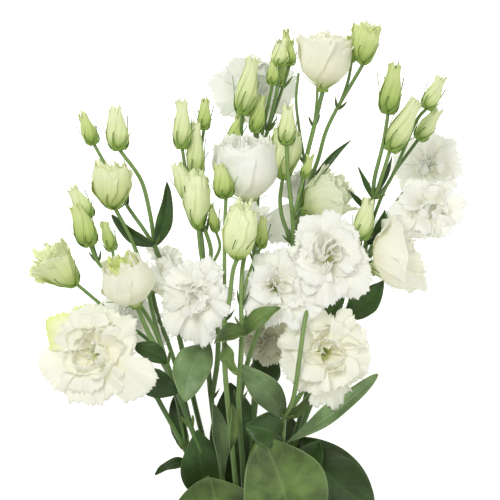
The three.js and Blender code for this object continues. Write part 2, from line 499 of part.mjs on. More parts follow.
// A leaf: a thin arched blade, folded along its midrib, with gently waved edges.
function leaf(row, grow) {
  const [, foot, tip, width, arch, roll, fold, wave, bow, widest] = row;
  const start = vec(foot);
  const run = vec(tip).sub(start);
  const ahead = run.clone().normalize();
  const face = new THREE.Vector3(0, 0, 1).addScaledVector(ahead, -ahead.z).normalize();
  face.applyAxisAngle(ahead, THREE.MathUtils.degToRad(roll));
  const right = ahead.clone().cross(face);
  const power = Math.log(0.5) / Math.log(widest);
  const crease = THREE.MathUtils.degToRad(fold);
  const phase = 6.28 * draw(foot[0] + tip[1]);
  const surface = (t, s) => {
    const v = THREE.MathUtils.clamp(s, 0.001, 1.02);
    const belly = 4 * v * (1 - v);
    const taper = Math.sin(Math.PI * Math.pow(Math.min(v, 0.999), power)) ** 0.75;
    const half = (width / 2) * Math.max(0.07, taper);
    const edge = Math.abs(t) * half;
    const lift = arch * belly + edge * Math.sin(crease) + wave * t * t * Math.sin(11 * v + phase + 2 * t);
    return start
      .clone()
      .addScaledVector(run, v)
      .addScaledVector(right, t * half * Math.cos(crease) + bow * belly)
      .addScaledVector(face, lift);
  };
  return blade(surface, 2, width > SMALL_LEAF ? 4 : 3, grow);
}

// A stalk that carries a bloom ends just under its foot.
function seated(way) {
  const top = vec(way[way.length - 1]);
  const row = BLOOMS.find(([, foot]) => vec(foot).distanceTo(top) < 6);
  if (!row) return way;
  const end = vec(row[1]).addScaledVector(vec(row[2]).normalize(), -GAP - 0.05);
  return [...way.slice(0, -1), end.toArray()];
}

// The whole path of a stem, from its first fork down through the band to its cut end.
function stemPath(slot, points) {
  const [x, z] = slot;
  return [
    ...points,
    [TIE_X + x, TIE_Y + BAND_WIDE, z],
    [TIE_X + x, TIE_Y - BAND_WIDE, z],
    [TIE_X + x * SPLAY, CUT_Y, BAND_MIDDLE + (z - BAND_MIDDLE) * SPLAY],
  ];
}

// The wood of a stem: its main stem, stalks, buds and half-open blooms.
function wood(row, grow) {
  const [name, slot, points] = row;
  let whole = tube(stemPath(slot, points), STEM_RADIUS - 0.3, STEM_RADIUS, grow);
  for (const [stem, first, last, way] of STALKS) {
    if (stem === name) whole = whole.add(tube(seated(way), first, last, grow));
  }
  for (const [stem, foot, tip, width] of BUDS) {
    if (stem === name) whole = whole.add(bud(foot, tip, width, grow));
  }
  for (const mouth of CUPS) {
    if (mouth[0] === name) whole = whole.add(cup(mouth, grow));
  }
  return whole;
}

// The largest body of a solid; loose scraps are dropped.
function largest(solid) {
  return solid.decompose().sort((a, b) => b.volume() - a.volume())[0];
}

// The same solid with its corners on a grid and no slivers finer than it. It takes the first grid
// on which every edge still joins just two faces.
function settled(solid) {
  const { vertProperties, triVerts } = solid.getMesh();
  for (const grid of GRIDS) {
    const snapped = new THREE.BufferGeometry();
    const corners = Float32Array.from(vertProperties, (value) => Math.round(value / grid) * grid);
    snapped.setAttribute("position", new THREE.BufferAttribute(corners, 3));
    snapped.setIndex(new THREE.BufferAttribute(triVerts, 1));
    const merged = mergeVertices(snapped, grid / 4);
    const order = merged.index.array;
    const kept = [];
    const edges = new Map();
    for (let i = 0; i < order.length; i += 3) {
      const [a, b, c] = order.slice(i, i + 3);
      if (a === b || b === c || c === a) continue;
      kept.push(a, b, c);
      for (const [from, to] of [[a, b], [b, c], [c, a]]) {
        const edge = Math.min(from, to) * 1e6 + Math.max(from, to);
        edges.set(edge, (edges.get(edge) ?? 0) + 1);
      }
    }
    if ([...edges.values()].some((faces) => faces !== 2)) continue;
    const mesh = new wasm.Mesh({
      numProp: 3,
      vertProperties: merged.attributes.position.array,
      triVerts: Uint32Array.from(kept),
    });
    return new wasm.Manifold(mesh);
  }
  return solid;
}

// The space under the table top.
function underTable() {
  const slab = new THREE.BoxGeometry(900, 1400, 200);
  slab.translate(0, 0, LOWEST - 100);
  return solidOf(slab);
}

// The rubber band: a flat strip round the tied stems.
function rubberBand() {
  const near = STEM_RADIUS + 0.02 + GAP;
  const corners = [[5.1, 4.25], [7.65, 8.75], [5.1, 13.25], [-5.1, 13.25], [-7.65, 8.75], [-5.1, 4.25]];
  const ring = (radius, path) => {
    corners.forEach(([x, z], i) => {
      const [px, pz] = corners[(i + 5) % 6];
      const [nx, nz] = corners[(i + 1) % 6];
      const from = Math.atan2(z - pz, x - px) - Math.PI / 2;
      const to = Math.atan2(nz - z, nx - x) - Math.PI / 2;
      path.absarc(x, z, radius, from, to, false);
    });
    return path;
  };
  const outline = ring(near + BAND_THICK, new THREE.Shape());
  outline.holes.push(ring(near, new THREE.Path()));
  const drawn = { depth: BAND_WIDE, bevelEnabled: false, curveSegments: 2 };
  const strip = new THREE.ExtrudeGeometry(outline, drawn);
  strip.rotateX(Math.PI / 2);
  strip.translate(TIE_X, TIE_Y + BAND_WIDE / 2, 0);
  return solidOf(strip);
}

const table = underTable();
const parts = new Map();
const clearances = [];

const woods = STEMS.map((row) => [row[0], wood(row, 0), wood(row, GAP)]);
for (const [name, plain] of woods) {
  const others = woods.filter(([other]) => other !== name);
  let leafy = plain;
  for (const row of LEAVES) {
    if (row[0] !== name) continue;
    let own = leaf(row, 0);
    for (const [, , grown] of others) own = own.subtract(grown);
    for (const grown of clearances) own = own.subtract(grown);
    leafy = leafy.add(own);
  }
  for (const row of LEAVES) if (row[0] === name) clearances.push(leaf(row, GAP));
  parts.set(name, largest(settled(leafy.subtract(table))));
}
for (const [, , grown] of woods) clearances.push(grown);
for (const row of BLOOMS) {
  let whole = bloom(row, 0).subtract(table);
  for (const grown of clearances) whole = whole.subtract(grown);
  parts.set(row[0], largest(settled(whole)));
  clearances.push(bloom(row, GAP));
}
parts.set("band", rubberBand());

// The middle of the part's footprint is its origin.
const box = { min: [Infinity, Infinity], max: [-Infinity, -Infinity] };
for (const solid of parts.values()) {
  const { min, max } = solid.boundingBox();
  for (const i of [0, 1]) {
    box.min[i] = Math.min(box.min[i], min[i]);
    box.max[i] = Math.max(box.max[i], max[i]);
  }
}
const bunch = new THREE.Group();
bunch.position.set(-(box.min[0] + box.max[0]) / 2, -(box.min[1] + box.max[1]) / 2, 0);

const COLOURS = { stem: 0x5e8a3e, bloom: 0xf2f2ea, band: 0xc9a36b };
for (const [name, solid] of parts) {
  const { vertProperties, triVerts } = solid.getMesh();
  const geometry = new THREE.BufferGeometry();
  geometry.setAttribute("position", new THREE.BufferAttribute(vertProperties, 3));
  geometry.setIndex(new THREE.BufferAttribute(triVerts, 1));
  const color = COLOURS[name.split("_")[0]];
  const material = new THREE.MeshStandardMaterial({ color, roughness: 0.6, metalness: 0 });
  const mesh = new THREE.Mesh(geometry, material);
  mesh.name = name;
  bunch.add(mesh);
}

export default bunch;
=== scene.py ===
import math
from collections import namedtuple

import bmesh
import bpy
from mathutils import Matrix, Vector
from mathutils.noise import noise as noise_at


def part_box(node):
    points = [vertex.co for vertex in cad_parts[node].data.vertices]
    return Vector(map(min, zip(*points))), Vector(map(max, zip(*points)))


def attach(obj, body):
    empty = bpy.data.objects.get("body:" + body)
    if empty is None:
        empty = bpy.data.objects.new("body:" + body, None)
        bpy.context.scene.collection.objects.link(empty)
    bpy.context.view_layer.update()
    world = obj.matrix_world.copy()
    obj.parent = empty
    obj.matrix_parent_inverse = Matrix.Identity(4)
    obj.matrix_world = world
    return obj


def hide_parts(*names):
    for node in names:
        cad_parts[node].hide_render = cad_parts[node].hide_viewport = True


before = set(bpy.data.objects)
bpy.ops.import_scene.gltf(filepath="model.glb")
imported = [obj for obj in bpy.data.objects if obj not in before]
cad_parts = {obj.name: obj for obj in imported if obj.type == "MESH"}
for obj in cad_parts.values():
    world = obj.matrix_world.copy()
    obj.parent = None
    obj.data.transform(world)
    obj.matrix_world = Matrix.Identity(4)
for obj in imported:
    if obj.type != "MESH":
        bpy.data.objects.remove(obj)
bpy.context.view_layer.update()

# Lengths are in mm and are made metres where a mesh is written.
MM = 0.001

# The tie and the stems, as in the part
TIE_X = -5
TIE_Y = -90
CUT_Y = -200
SPLAY = 1.35  # how much further apart the cut ends are than the stems in the tie
STEM_RADIUS = 2.35
STEM_TAPER = 0.3  # how much thinner a stem is at its first fork
BAND_WIDE = 9
BAND_MIDDLE = 8.75  # height of the middle of the tie
GAP = 0.35  # air between the end of a stalk and the foot of the bloom it carries
AT_FOOT = 6  # a stalk that ends nearer than this to a bloom's foot carries it

# The petals and leaves
SUNK = 1.2  # the lowest a petal starts above the foot of its bloom
UPRIGHT = 0.7  # a bloom that flares less than this is half open
LARGE_BLOOM = 34  # radius above which an open bloom has one more ring of petals
LARGE_CUP = 17  # radius above which a half-open bloom is a full goblet
SMALL_BUD = 14  # a bud narrower than this is still green
BROAD_LEAF = 9  # a leaf wider than this is drawn with more faces
RUFFLE = 2  # how far a petal's edge waves up and down
PETAL_THICK = 0.28
SEPAL_THICK = 0.35
LEAF_THICK = 0.5

# Faces across and along a blade
OUTER_PETAL = (46, 9)
INNER_PETAL = (34, 8)
OUTER_WALL = (34, 11)
INNER_WALL = (26, 11)
FUNNEL = (16, 5)
BUD_PETAL = (12, 12)
BUD_HEART = (9, 6)
SEPAL_BLADE = (2, 11)
BROAD_BLADE = (10, 28)
NARROW_BLADE = (6, 14)
BRACT_BLADE = (4, 8)

# Patterns on petals, leaves and stalks
PETAL_FIBRES = (26, 1.2, 1)  # how often a petal's fibres repeat across and along it
LEAF_VEINS = 62  # turn in radians of the side veins along a leaf: about ten pairs
STALK_TURNS = (-50, 140, 330)  # where along the bunch a stalk is deep, mid and yellow green

# Camera and light
FIELD = 400  # width of what the camera sees
FIELD_MIDDLE = (0, 200, 80)
CAMERA_AWAY = 2500
LAMP_AIM = 60  # height that the lamps point at
LIGHT_THROUGH = 0.12  # share of the light that a petal lets through
PAINTED_GLOW = 0.1  # painted glow: petals give off light in their own colour, standing in for the light that goes round between white petals and fills their shadows

# Stem: its place in the tied bundle, then points from its first fork down towards the band, in mm
STEMS = [
  ["stem_a", [-7.65, 8.75], [[-75, 82, 70], [-52, 38, 54], [-26, -20, 34]]],
  ["stem_b", [-2.55, 8.75], [[-66, 108, 82], [-47, 56, 64], [-18, -20, 36]]],
  ["stem_c", [-5.1, 4.25], [[-76, 203, 84], [-68, 178, 50], [-60, 140, 36], [-44, 70, 32], [-22, -20, 22]]],
  ["stem_d", [-5.1, 13.25], [[-36, 180, 88], [-35, 150, 80], [-34, 114, 76], [-31, 80, 72],
    [-19, -10, 48]]],
  ["stem_e", [0, 13.25], [[-20, 144, 124], [-20, 111, 116], [-14, 40, 88], [-9, -15, 58]]],
  ["stem_f", [2.55, 8.75], [[-6, 138, 122], [-7, 119, 117], [-9, 78, 98], [-6, 30, 72], [-4, -20, 44]]],
  ["stem_g", [0, 4.25], [[2, 222, 64], [4, 190, 50], [4, 150, 34], [4, 110, 30], [2, 50, 34],
    [-4, -20, 24]]],
  ["stem_h", [5.1, 4.25], [[34, 205, 88], [40, 180, 74], [46, 150, 64], [50, 110, 54], [42, 68, 44],
    [12, -20, 24]]],
  ["stem_i", [7.65, 8.75], [[98, 241, 88], [93, 205, 76], [84, 170, 66], [72, 130, 60], [51, 80, 52],
    [16, -20, 34]]],
  ["stem_j", [5.1, 13.25], [[27, 66, 90], [25, 40, 80], [8, -20, 48]]],
]

# Stalks of a stem: radius at its foot and at its top, points from foot to top
STALKS = {
  "stem_a": [
    [2.3, 2, [[-75, 82, 70], [-94, 101, 76], [-117, 117, 83]]],
    [1.75, 1.45, [[-52, 38, 54], [-62, 92, 66], [-78, 124, 76], [-106, 146, 88], [-138, 173, 94]]],
  ],
  "stem_b": [
    [2.2, 1.8, [[-66, 108, 82], [-80, 132, 90], [-90, 155, 98]]],
    [1.8, 1.75, [[-47, 56, 64], [-58, 100, 62], [-66, 125, 58], [-74, 145, 54], [-80, 166, 56]]],
    [1.8, 1.75, [[-47, 56, 64], [-62, 92, 56], [-80, 124, 46], [-96, 148, 38]]],
    [1.75, 1.45, [[-66, 108, 82], [-78, 140, 84], [-98, 168, 84], [-121, 190, 90], [-127, 204, 94]]],
    [1.35, 1.25, [[-98, 168, 84], [-108, 188, 80], [-110, 200, 80]]],
    [1.35, 1.25, [[-121, 190, 90], [-126, 206, 84], [-128, 226, 82]]],
    [1.75, 1.55, [[-66, 108, 82], [-75, 138, 78], [-82, 168, 78], [-89, 194, 86], [-96, 212, 96],
      [-107, 233, 102]]],
  ],
  "stem_c": [
    [1.75, 1.45, [[-76, 203, 84], [-80, 230, 88], [-87, 256, 90], [-101, 276, 92], [-104, 280, 92]]],
    [1.65, 1.35, [[-76, 203, 84], [-86, 218, 82], [-98, 235, 80], [-110, 258, 80], [-125, 285, 80]]],
  ],
  "stem_d": [
    [1.8, 1.55, [[-36, 180, 88], [-31, 198, 96], [-35, 214, 100], [-46, 241, 102]]],
    [1.55, 1.35, [[-35, 214, 100], [-43, 238, 94], [-50, 258, 92], [-54, 281, 92]]],
    [1.75, 1.55, [[-36, 180, 88], [-39, 198, 96], [-41, 217, 104]]],
    [1.55, 1.35, [[-36, 180, 88], [-38, 205, 82], [-42, 235, 80], [-43, 258, 82]]],
    [1.35, 1.25, [[-42, 235, 80], [-42, 258, 74], [-37, 297, 72]]],
    [1.35, 1.15, [[-36, 180, 88], [-24, 202, 98], [-27, 215, 102]]],
    [2.2, 1.9, [[-31, 80, 72], [-26, 112, 84], [-26, 142, 92], [-31, 165, 98]]],
  ],
  "stem_e": [
    [1.8, 1.65, [[-20, 144, 124], [-17, 155, 127], [-13, 185, 132], [-10, 193, 133]]],
    [1.65, 1.35, [[-20, 144, 124], [-20, 165, 119], [-20, 214, 117], [-19, 242, 112]]],
  ],
  "stem_f": [
    [1.8, 1.65, [[-6, 138, 122], [-7, 155, 124], [-6, 185, 120], [-3, 200, 104], [1, 214, 80]]],
    [1.35, 1.15, [[-7, 155, 124], [-3, 174, 120], [6, 198, 110], [9, 202, 108]]],
    [2.2, 1.9, [[-9, 78, 98], [-2, 110, 92], [8, 140, 94], [15, 167, 98]]],
  ],
  "stem_g": [
    [2, 1.8, [[2, 222, 64], [2, 235, 79]]],
    [1.75, 1.45, [[2, 222, 64], [-4, 262, 56], [-7, 292, 64], [-6, 309, 72]]],
    [1.35, 1.15, [[-4, 262, 56], [-11, 276, 60], [-14, 286, 62]]],
    [1.65, 1.35, [[2, 222, 64], [4, 255, 52], [4, 280, 56], [4, 295, 64]]],
    [1.55, 1.35, [[4, 255, 52], [8, 278, 50], [10, 294, 56], [18, 333, 72]]],
    [1.55, 1.35, [[8, 278, 50], [14, 296, 50], [23, 333, 62]]],
    [1.35, 1.25, [[14, 296, 50], [21, 325, 68], [24, 348, 74]]],
    [1.35, 1.25, [[14, 296, 50], [26, 330, 60], [32, 349, 66]]],
    [1.25, 1.15, [[26, 330, 60], [29, 346, 56], [30, 357, 56]]],
    [1.8, 1.75, [[4, 190, 50], [6, 240, 34], [6, 290, 18], [4, 326, 12]]],
    [1.8, 1.75, [[2, 50, 34], [8, 100, 38], [12, 128, 43]]],
  ],
  "stem_h": [
    [1.8, 1.55, [[34, 205, 88], [34, 223, 96], [30, 262, 102], [29, 284, 104]]],
    [1.65, 1.45, [[34, 205, 88], [26, 225, 84], [24, 240, 84], [26, 257, 88]]],
    [1.35, 1.15, [[34, 223, 96], [38, 240, 98], [43, 258, 99]]],
    [1.9, 1.75, [[34, 205, 88], [40, 235, 80], [44, 268, 84], [51, 298, 88], [58, 325, 92]]],
    [1.75, 1.45, [[40, 235, 80], [54, 271, 76], [62, 298, 82], [90, 348, 96]]],
    [1.35, 1.15, [[70, 312, 86], [78, 334, 89], [81, 350, 90]]],
    [1.15, 1.05, [[51, 298, 88], [54, 325, 70], [54, 366, 66]]],
    [1.15, 1.05, [[44, 268, 84], [39, 300, 78], [37, 321, 74], [39, 342, 72]]],
    [2, 1.8, [[34, 205, 88], [37, 218, 86], [42, 229, 85]]],
    [1.7, 1.75, [[40, 180, 74], [38, 215, 52], [43, 242, 44]]],
  ],
  "stem_i": [
    [1.75, 1.45, [[98, 241, 88], [99, 256, 92], [106, 285, 94], [110, 309, 92]]],
    [1.75, 1.55, [[98, 241, 88], [101, 247, 92], [106, 262, 98], [111, 279, 102]]],
    [1.55, 1.35, [[98, 241, 88], [108, 250, 84], [116, 264, 82], [134, 305, 84], [141, 313, 86]]],
    [1.55, 1.35, [[93, 205, 76], [99, 226, 78], [112, 256, 72], [135, 289, 76]]],
    [1.55, 1.35, [[89, 188, 71], [88, 198, 86], [88, 209, 98]]],
    [2.1, 1.9, [[84, 170, 66], [90, 176, 82], [96, 183, 94]]],
    [1.9, 1.7, [[84, 170, 66], [100, 205, 44], [122, 242, 26], [142, 265, 20]]],
    [1.8, 1.7, [[89, 188, 71], [108, 206, 60], [126, 222, 58], [139, 231, 63]]],
  ],
  "stem_j": [
    [2.2, 1.9, [[27, 66, 90], [40, 84, 82], [50, 104, 80], [57, 118, 83]]],
    [2, 1.7, [[27, 66, 90], [34, 82, 112], [39, 115, 120], [44, 148, 116], [51, 172, 104], [57, 192, 98]]],
  ],
}

# Buds of a stem: foot, tip, width
BUDS = {
  "stem_b": [
    [[-128, 226, 82], [-142, 248, 82], 15],
    [[-127, 204, 94], [-138, 234, 98], 19],
    [[-110, 200, 80], [-117, 221, 80], 11],
  ],
  "stem_c": [
    [[-125, 285, 80], [-134, 307, 82], 13],
    [[-104, 280, 92], [-108, 312, 94], 19],
  ],
  "stem_d": [
    [[-54, 281, 92], [-54, 317, 93], 15],
    [[-37, 297, 72], [-36, 320, 73], 11],
    [[-43, 258, 82], [-44, 300, 84], 15],
    [[-46, 241, 102], [-58, 267, 106], 18],
    [[-27, 215, 102], [-31, 235, 104], 8],
  ],
  "stem_e": [
    [[-19, 242, 112], [-24, 266, 116], 17],
  ],
  "stem_f": [
    [[9, 202, 108], [10, 225, 110], 10],
  ],
  "stem_g": [
    [[-6, 309, 72], [2, 353, 76], 18],
    [[4, 295, 64], [9, 322, 66], 13],
    [[-14, 286, 62], [-8, 307, 62], 12],
    [[30, 357, 56], [29, 376, 57], 10],
    [[32, 349, 66], [32, 367, 67], 10],
    [[24, 348, 74], [24, 366, 76], 15],
    [[18, 333, 72], [19, 351, 74], 10],
    [[23, 333, 62], [27, 351, 60], 9],
  ],
  "stem_h": [
    [[29, 284, 104], [30, 313, 106], 15],
    [[43, 258, 99], [48, 273, 100], 8],
    [[81, 350, 90], [80, 368, 91], 8],
  ],
  "stem_i": [
    [[110, 309, 92], [115, 346, 95], 18],
    [[141, 313, 86], [152, 336, 88], 14],
    [[111, 279, 102], [131, 318, 106], 19],
    [[135, 289, 76], [150, 311, 78], 14],
    [[88, 209, 98], [94, 239, 102], 17],
  ],
}

# Small half-open blooms of a stem: foot, middle of its mouth, radius, first petal's angle, how far
# its edge flares, how far its mouth closes in, how pointed its petals are, its colour
CUPS = {
  "stem_a": [
    [[-138, 173, 94], [-163, 196, 98], 15, 50, 0.5, 0.2, 0.35, "sage"],
  ],
  "stem_b": [
    [[-107, 233, 102], [-111, 266, 106], 17, 20, 0.1, 0.3, 0.3, "sage"],
  ],
  "stem_d": [
    [[-41, 217, 104], [-44, 258, 107], 12, 0, 0.15, 0.4, 0.2, "young"],
  ],
  "stem_e": [
    [[-10, 193, 133], [-7, 232, 139], 15, 30, 0.05, 0.42, 0.15, "young"],
  ],
  "stem_h": [
    [[26, 257, 88], [30, 295, 88], 13, 10, 0.15, 0.35, 0.3, "pale"],
    [[90, 348, 96], [93, 377, 98], 12, 40, 0.2, 0.25, 0.3, "green"],
  ],
}

# Bloom: name, foot, axis, radius, height, flare, droop, each outer petal's angle, reach and half
# width, or the first petal's angle of a half-open bloom
BLOOMS = [
  ["bloom_01", [-117, 117.5, 85], [-0.3, 0.1, 0.95], 40, 24, 1.3, 8,
    [[0, 32, 32], [50, 38, 30], [95, 38, 28], [140, 46, 30], [190, 50, 32], [240, 42, 30],
    [285, 40, 28], [322, 54, 24]]],
  ["bloom_02", [-90, 156, 99.5], [-0.3, 0.82, 0.5], 21, 42, 0.4, 0, 0],
  ["bloom_03", [-79, 168, 58], [0.6, 0.5, 0.5], 27, 29, 0.9, 5,
    [[0, 27, 38], [70, 28, 38], [142, 25, 38], [214, 25, 38], [288, 29, 38]]],
  ["bloom_04", [-97, 149, 40], [-0.1, -0.2, 0.95], 25, 18, 1.2, 6,
    [[20, 24, 38], [92, 22, 38], [164, 25, 38], [240, 24, 38], [312, 38, 30]]],
  ["bloom_05", [-31, 166, 100], [-0.45, -0.1, 0.85], 33, 24, 1.2, 8,
    [[20, 26, 32], [75, 30, 30], [130, 30, 30], [178, 34, 28], [210, 42, 24], [260, 42, 28],
    [312, 27, 32]]],
  ["bloom_06", [18, 169, 100], [0.1, 0.1, 0.98], 30, 22, 1.2, 6,
    [[0, 28, 32], [50, 30, 32], [100, 30, 30], [160, 24, 32], [215, 28, 32], [265, 32, 30],
    [325, 42, 30]]],
  ["bloom_07", [58, 193, 100], [0.1, 0.1, 0.98], 34, 24, 1.2, 8,
    [[10, 33, 30], [62, 36, 30], [112, 36, 30], [165, 31, 30], [220, 32, 30], [274, 38, 28],
    [321, 42, 28]]],
  ["bloom_08", [97, 184, 95], [0.88, 0.38, 0.14], 24, 37, 0.45, 0, 0],
  ["bloom_09", [143, 266, 22], [0.15, 0.15, 0.97], 30, 20, 1.2, 6,
    [[15, 31, 34], [75, 29, 34], [135, 31, 34], [190, 31, 34], [250, 24, 34], [310, 28, 34]]],
  ["bloom_10", [140, 232, 65], [0.1, 0, 0.98], 27, 20, 1.1, 5,
    [[0, 30, 34], [60, 24, 34], [125, 26, 34], [185, 30, 34], [245, 24, 34], [300, 22, 34]]],
  ["bloom_11", [58, 119, 85], [0.1, 0, 0.98], 36, 23, 1.2, 8,
    [[0, 36, 30], [40, 38, 28], [90, 32, 30], [140, 36, 28], [185, 37, 30], [235, 34, 28],
    [278, 46, 22], [330, 38, 28]]],
  ["bloom_12", [12, 129, 45], [0, 0, 1], 22, 16, 1.2, 4,
    [[0, 22, 38], [72, 22, 38], [144, 22, 38], [216, 20, 38], [288, 22, 38]]],
  ["bloom_13", [43, 230, 85.5], [0.8, 0.55, 0.2], 18, 38, 0.45, 0, 20],
  ["bloom_14", [44, 245, 46], [0, 0.15, 0.98], 20, 18, 1.2, 4,
    [[0, 18, 38], [72, 18, 38], [144, 18, 38], [236, 48, 20], [290, 18, 38]]],
  ["bloom_15", [0, 237, 81], [-0.1, 0.93, 0.32], 25, 50, 0.4, 0, 0],
  ["bloom_16", [1, 216, 82], [0, 0.6, 0.8], 17, 16, 0.9, 2,
    [[0, 16, 40], [72, 17, 40], [144, 17, 40], [216, 15, 40], [288, 15, 40]]],
  ["bloom_17", [58, 327, 92.5], [0.07, 1, 0.13], 19, 41, 0.38, 0, 268],
  ["bloom_18", [4, 328, 15], [0, 0.1, 0.99], 30, 20, 1.2, 6,
    [[10, 36, 34], [65, 30, 34], [120, 32, 34], [180, 37, 34], [235, 28, 34], [300, 30, 34]]],
]

# Leaves of a stem: foot, tip, width, arch, roll, fold, edge wave, sideways bow, where along it is widest
LEAVES = {
  "stem_a": [
    [[-34, 0, 42], [-42, 55, 62], 36, 4, 5, 10, 1, -2, 0.42],
    [[-50, 36, 53], [-60, 84, 50], 15, 3, -20, 12, 0.8, -2, 0.5],
    [[-48, 28, 51], [-77, 18, 50], 10, 5, 20, 25, 1, 2, 0.4],
  ],
  "stem_b": [
    [[-66, 110, 84], [-94, 124, 92], 16, 3, 10, 15, 0.8, 2, 0.5],
    [[-58, 86, 76], [-91, 107, 86], 24, 4, -10, 12, 1, -2, 0.5],
    [[-14, -54, 24], [-32, 18, 74], 74, 7, -8, 6, 2, 0, 0.68],
  ],
  "stem_c": [
    [[-76, 203, 84], [-66, 254, 94], 14, 4, 20, 20, 0.6, 2, 0.4],
    [[-76, 203, 84], [-110, 228, 96], 12, 4, -20, 20, 0.6, -2, 0.45],
    [[-98, 235, 80], [-104, 264, 88], 5, 2, 0, 15, 0.3, 1, 0.4],
  ],
  "stem_d": [
    [[-34, 126, 78], [-52, 80, 104], 31, 6, 10, 8, 1, 3, 0.5],
    [[-22, 14, 56], [-30, 78, 84], 15, 4, 25, 20, 0.6, 1, 0.6],
    [[-36, 165, 84], [-42, 188, 92], 12, 2, 10, 15, 0.6, -2, 0.5],
  ],
  "stem_e": [
    [[-2, 134, 124], [-28, 127, 138], 18, 4, 30, 30, 0.8, 2, 0.45],
    [[-20, 128, 120], [-9, 102, 134], 15, 5, 40, 20, 0.8, -3, 0.5],
    [[-16, 40, 90], [-14, 78, 106], 9, 3, 30, 25, 0.5, 0, 0.5],
  ],
  "stem_f": [
    [[-5, 134, 122], [24, 155, 132], 15, 4, -20, 18, 0.8, -2, 0.45],
  ],
  "stem_g": [
    [[6, 90, 34], [21, 117, 46], 26, 3, 0, 10, 1, 0, 0.45],
    [[-4, -14, 24], [-16, 92, 32], 46, 3, 0, 8, 1, 0, 0.5],
  ],
  "stem_h": [
    [[14, -10, 26], [34, 64, 30], 40, 3, 0, 8, 1, 2, 0.5],
    [[48, 140, 61], [76, 162, 66], 14, 3, 0, 10, 0.8, 2, 0.5],
    [[48, 248, 78], [81, 288, 84], 7, 4, 20, 20, 0.4, -5, 0.4],
    [[37, 222, 80], [57, 256, 66], 8, 3, 20, 20, 0.4, 2, 0.4],
  ],
  "stem_i": [
    [[40, 48, 46], [101, -10, 40], 50, 6, 0, 6, 1.5, 6, 0.5],
    [[30, 8, 40], [56, 46, 62], 26, 4, 10, 12, 0.8, 0, 0.6],
    [[76, 146, 62], [107, 176, 76], 20, 4, 10, 12, 1, 3, 0.45],
    [[93, 205, 76], [107, 232, 92], 13, 4, 20, 25, 0.8, 3, 0.5],
    [[98, 241, 88], [86, 266, 96], 5, 2, 20, 20, 0.3, -1, 0.4],
    [[93, 232, 85], [78, 248, 92], 5, 2, 20, 20, 0.3, -1, 0.4],
    [[99, 244, 90], [113, 275, 96], 5, 2, 20, 20, 0.3, 1, 0.4],
  ],
  "stem_j": [
    [[27, 67, 92], [-8, 109, 112], 24, 5, -10, 12, 1, 4, 0.5],
    [[26, 50, 86], [-4, 60, 98], 30, 5, 10, 16, 1, 2, 0.5],
    [[27, 67, 90], [54, 92, 104], 12, 3, 30, 20, 0.6, 2, 0.4],
    [[25, 44, 84], [102, 101, 92], 18, 5, -25, 25, 1, 6, 0.6],
    [[34, -46, 50], [10, 51, 96], 74, 8, 15, 8, 2, 4, 0.55],
  ],
}

# Ring of petals in an open bloom: how many, their reach and height as shares of the bloom's, their
# half width in degrees, how far they close in, how much they lean
OPEN_RINGS = [
    (4, 0.78, 1.0, 64, 0, 0.3), (4, 0.58, 1.1, 66, 0.04, 0.45),
    (3, 0.4, 1.12, 80, 0.2, 0.5), (3, 0.27, 0.95, 66, 0.1, 0.3),
]
WIDEST_RING = (5, 0.93, 0.9, 46, 0, 0.25)
HEART_RINGS = (2, 3)  # the two rings of OPEN_RINGS nearest the axis

# Ring of petals in a half-open bloom: how many, their reach and height as shares, their half width
SMALL_RINGS = [(4, 0.97, 1, 70), (4, 0.8, 1.02, 70), (3, 0.5, 1.07, 84), (3, 0.3, 1.1, 84)]
LARGE_RINGS = [
    (4, 0.97, 1, 74), (4, 0.75, 1.02, 68), (4, 0.62, 1.03, 64), (3, 0.46, 1.04, 76), (3, 0.28, 1.03, 80),
]

# Open bloom that differs from the rest: shares of the usual reach and height of its inner petals,
# how far its heart closes in
HEARTS = {
    "bloom_03": (0.8, 1, 0), "bloom_04": (0.8, 1, 0), "bloom_05": (0.72, 1, 0),
    "bloom_09": (1.05, 0.72, 0.8), "bloom_10": (1.05, 0.8, 0.75),
}

# Large half-open bloom: how far its edge flares, how far its mouth closes in, how pointed its
# petals are, the share of its height where it grows full, the colour of its heart
GOBLETS = {
    "bloom_02": (0.15, 0.45, 0.22, 0.55, "tipped"), "bloom_08": (0.36, 0.08, 0.46, 0.55, "own"),
    "bloom_13": (0.25, 0.12, 0.35, 0.55, "own"), "bloom_15": (0.1, 0.2, 0.12, 0.55, "own"),
    "bloom_17": (0.28, 0.08, 0.08, 0.43, "own"),
}

# Outer petals that are still green at the edge, by bloom and angle
TIPPED_PETALS = [("bloom_01", 140)]
# Tips of the large buds that are still green
GREEN_BUDS = [(115, 346, 95), (-138, 234, 98), (-24, 266, 116)]
# Tips of the leaves that show their paler side
PALE_LEAVES = [(-52, 80, 104), (102, 101, 92), (-8, 109, 112), (-30, 78, 84)]

# The part's frame starts at the middle of its footprint: this is how far the layout above moves.
least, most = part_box("band")
SHIFT = Vector(((least[0] + most[0]) / 2 - TIE_X * MM, (least[1] + most[1]) / 2 - TIE_Y * MM, 0))


def metres(point):
    """A layout point in mm as a point of the part in metres."""
    return Vector(point) * MM + SHIFT


def draw(seed):
    """A repeatable draw between 0 and 1 for any number."""
    x = math.sin(seed * 12.9898 + 4.137) * 43758.5453
    return x - math.floor(x)


def soft(x, y, seed):
    """Smooth repeatable noise, about -0.6 to 0.6."""
    return noise_at(Vector((x + 3.7 * draw(seed), y + 7.1 * draw(seed + 0.5), 11 * draw(seed + 0.25))))


def clamp(value, least, most):
    """The value, held between two limits."""
    return max(least, min(most, value))


def spokes(axis):
    """A function that gives the direction square to an axis at an angle in radians from about +X."""
    nearest = Vector((0, 1, 0)) if abs(axis.x) > 0.95 else Vector((1, 0, 0))
    side = (nearest - axis * nearest.dot(axis)).normalized()
    up = axis.cross(side)

    def spoke(angle):
        return side * math.cos(angle) + up * math.sin(angle)

    return spoke


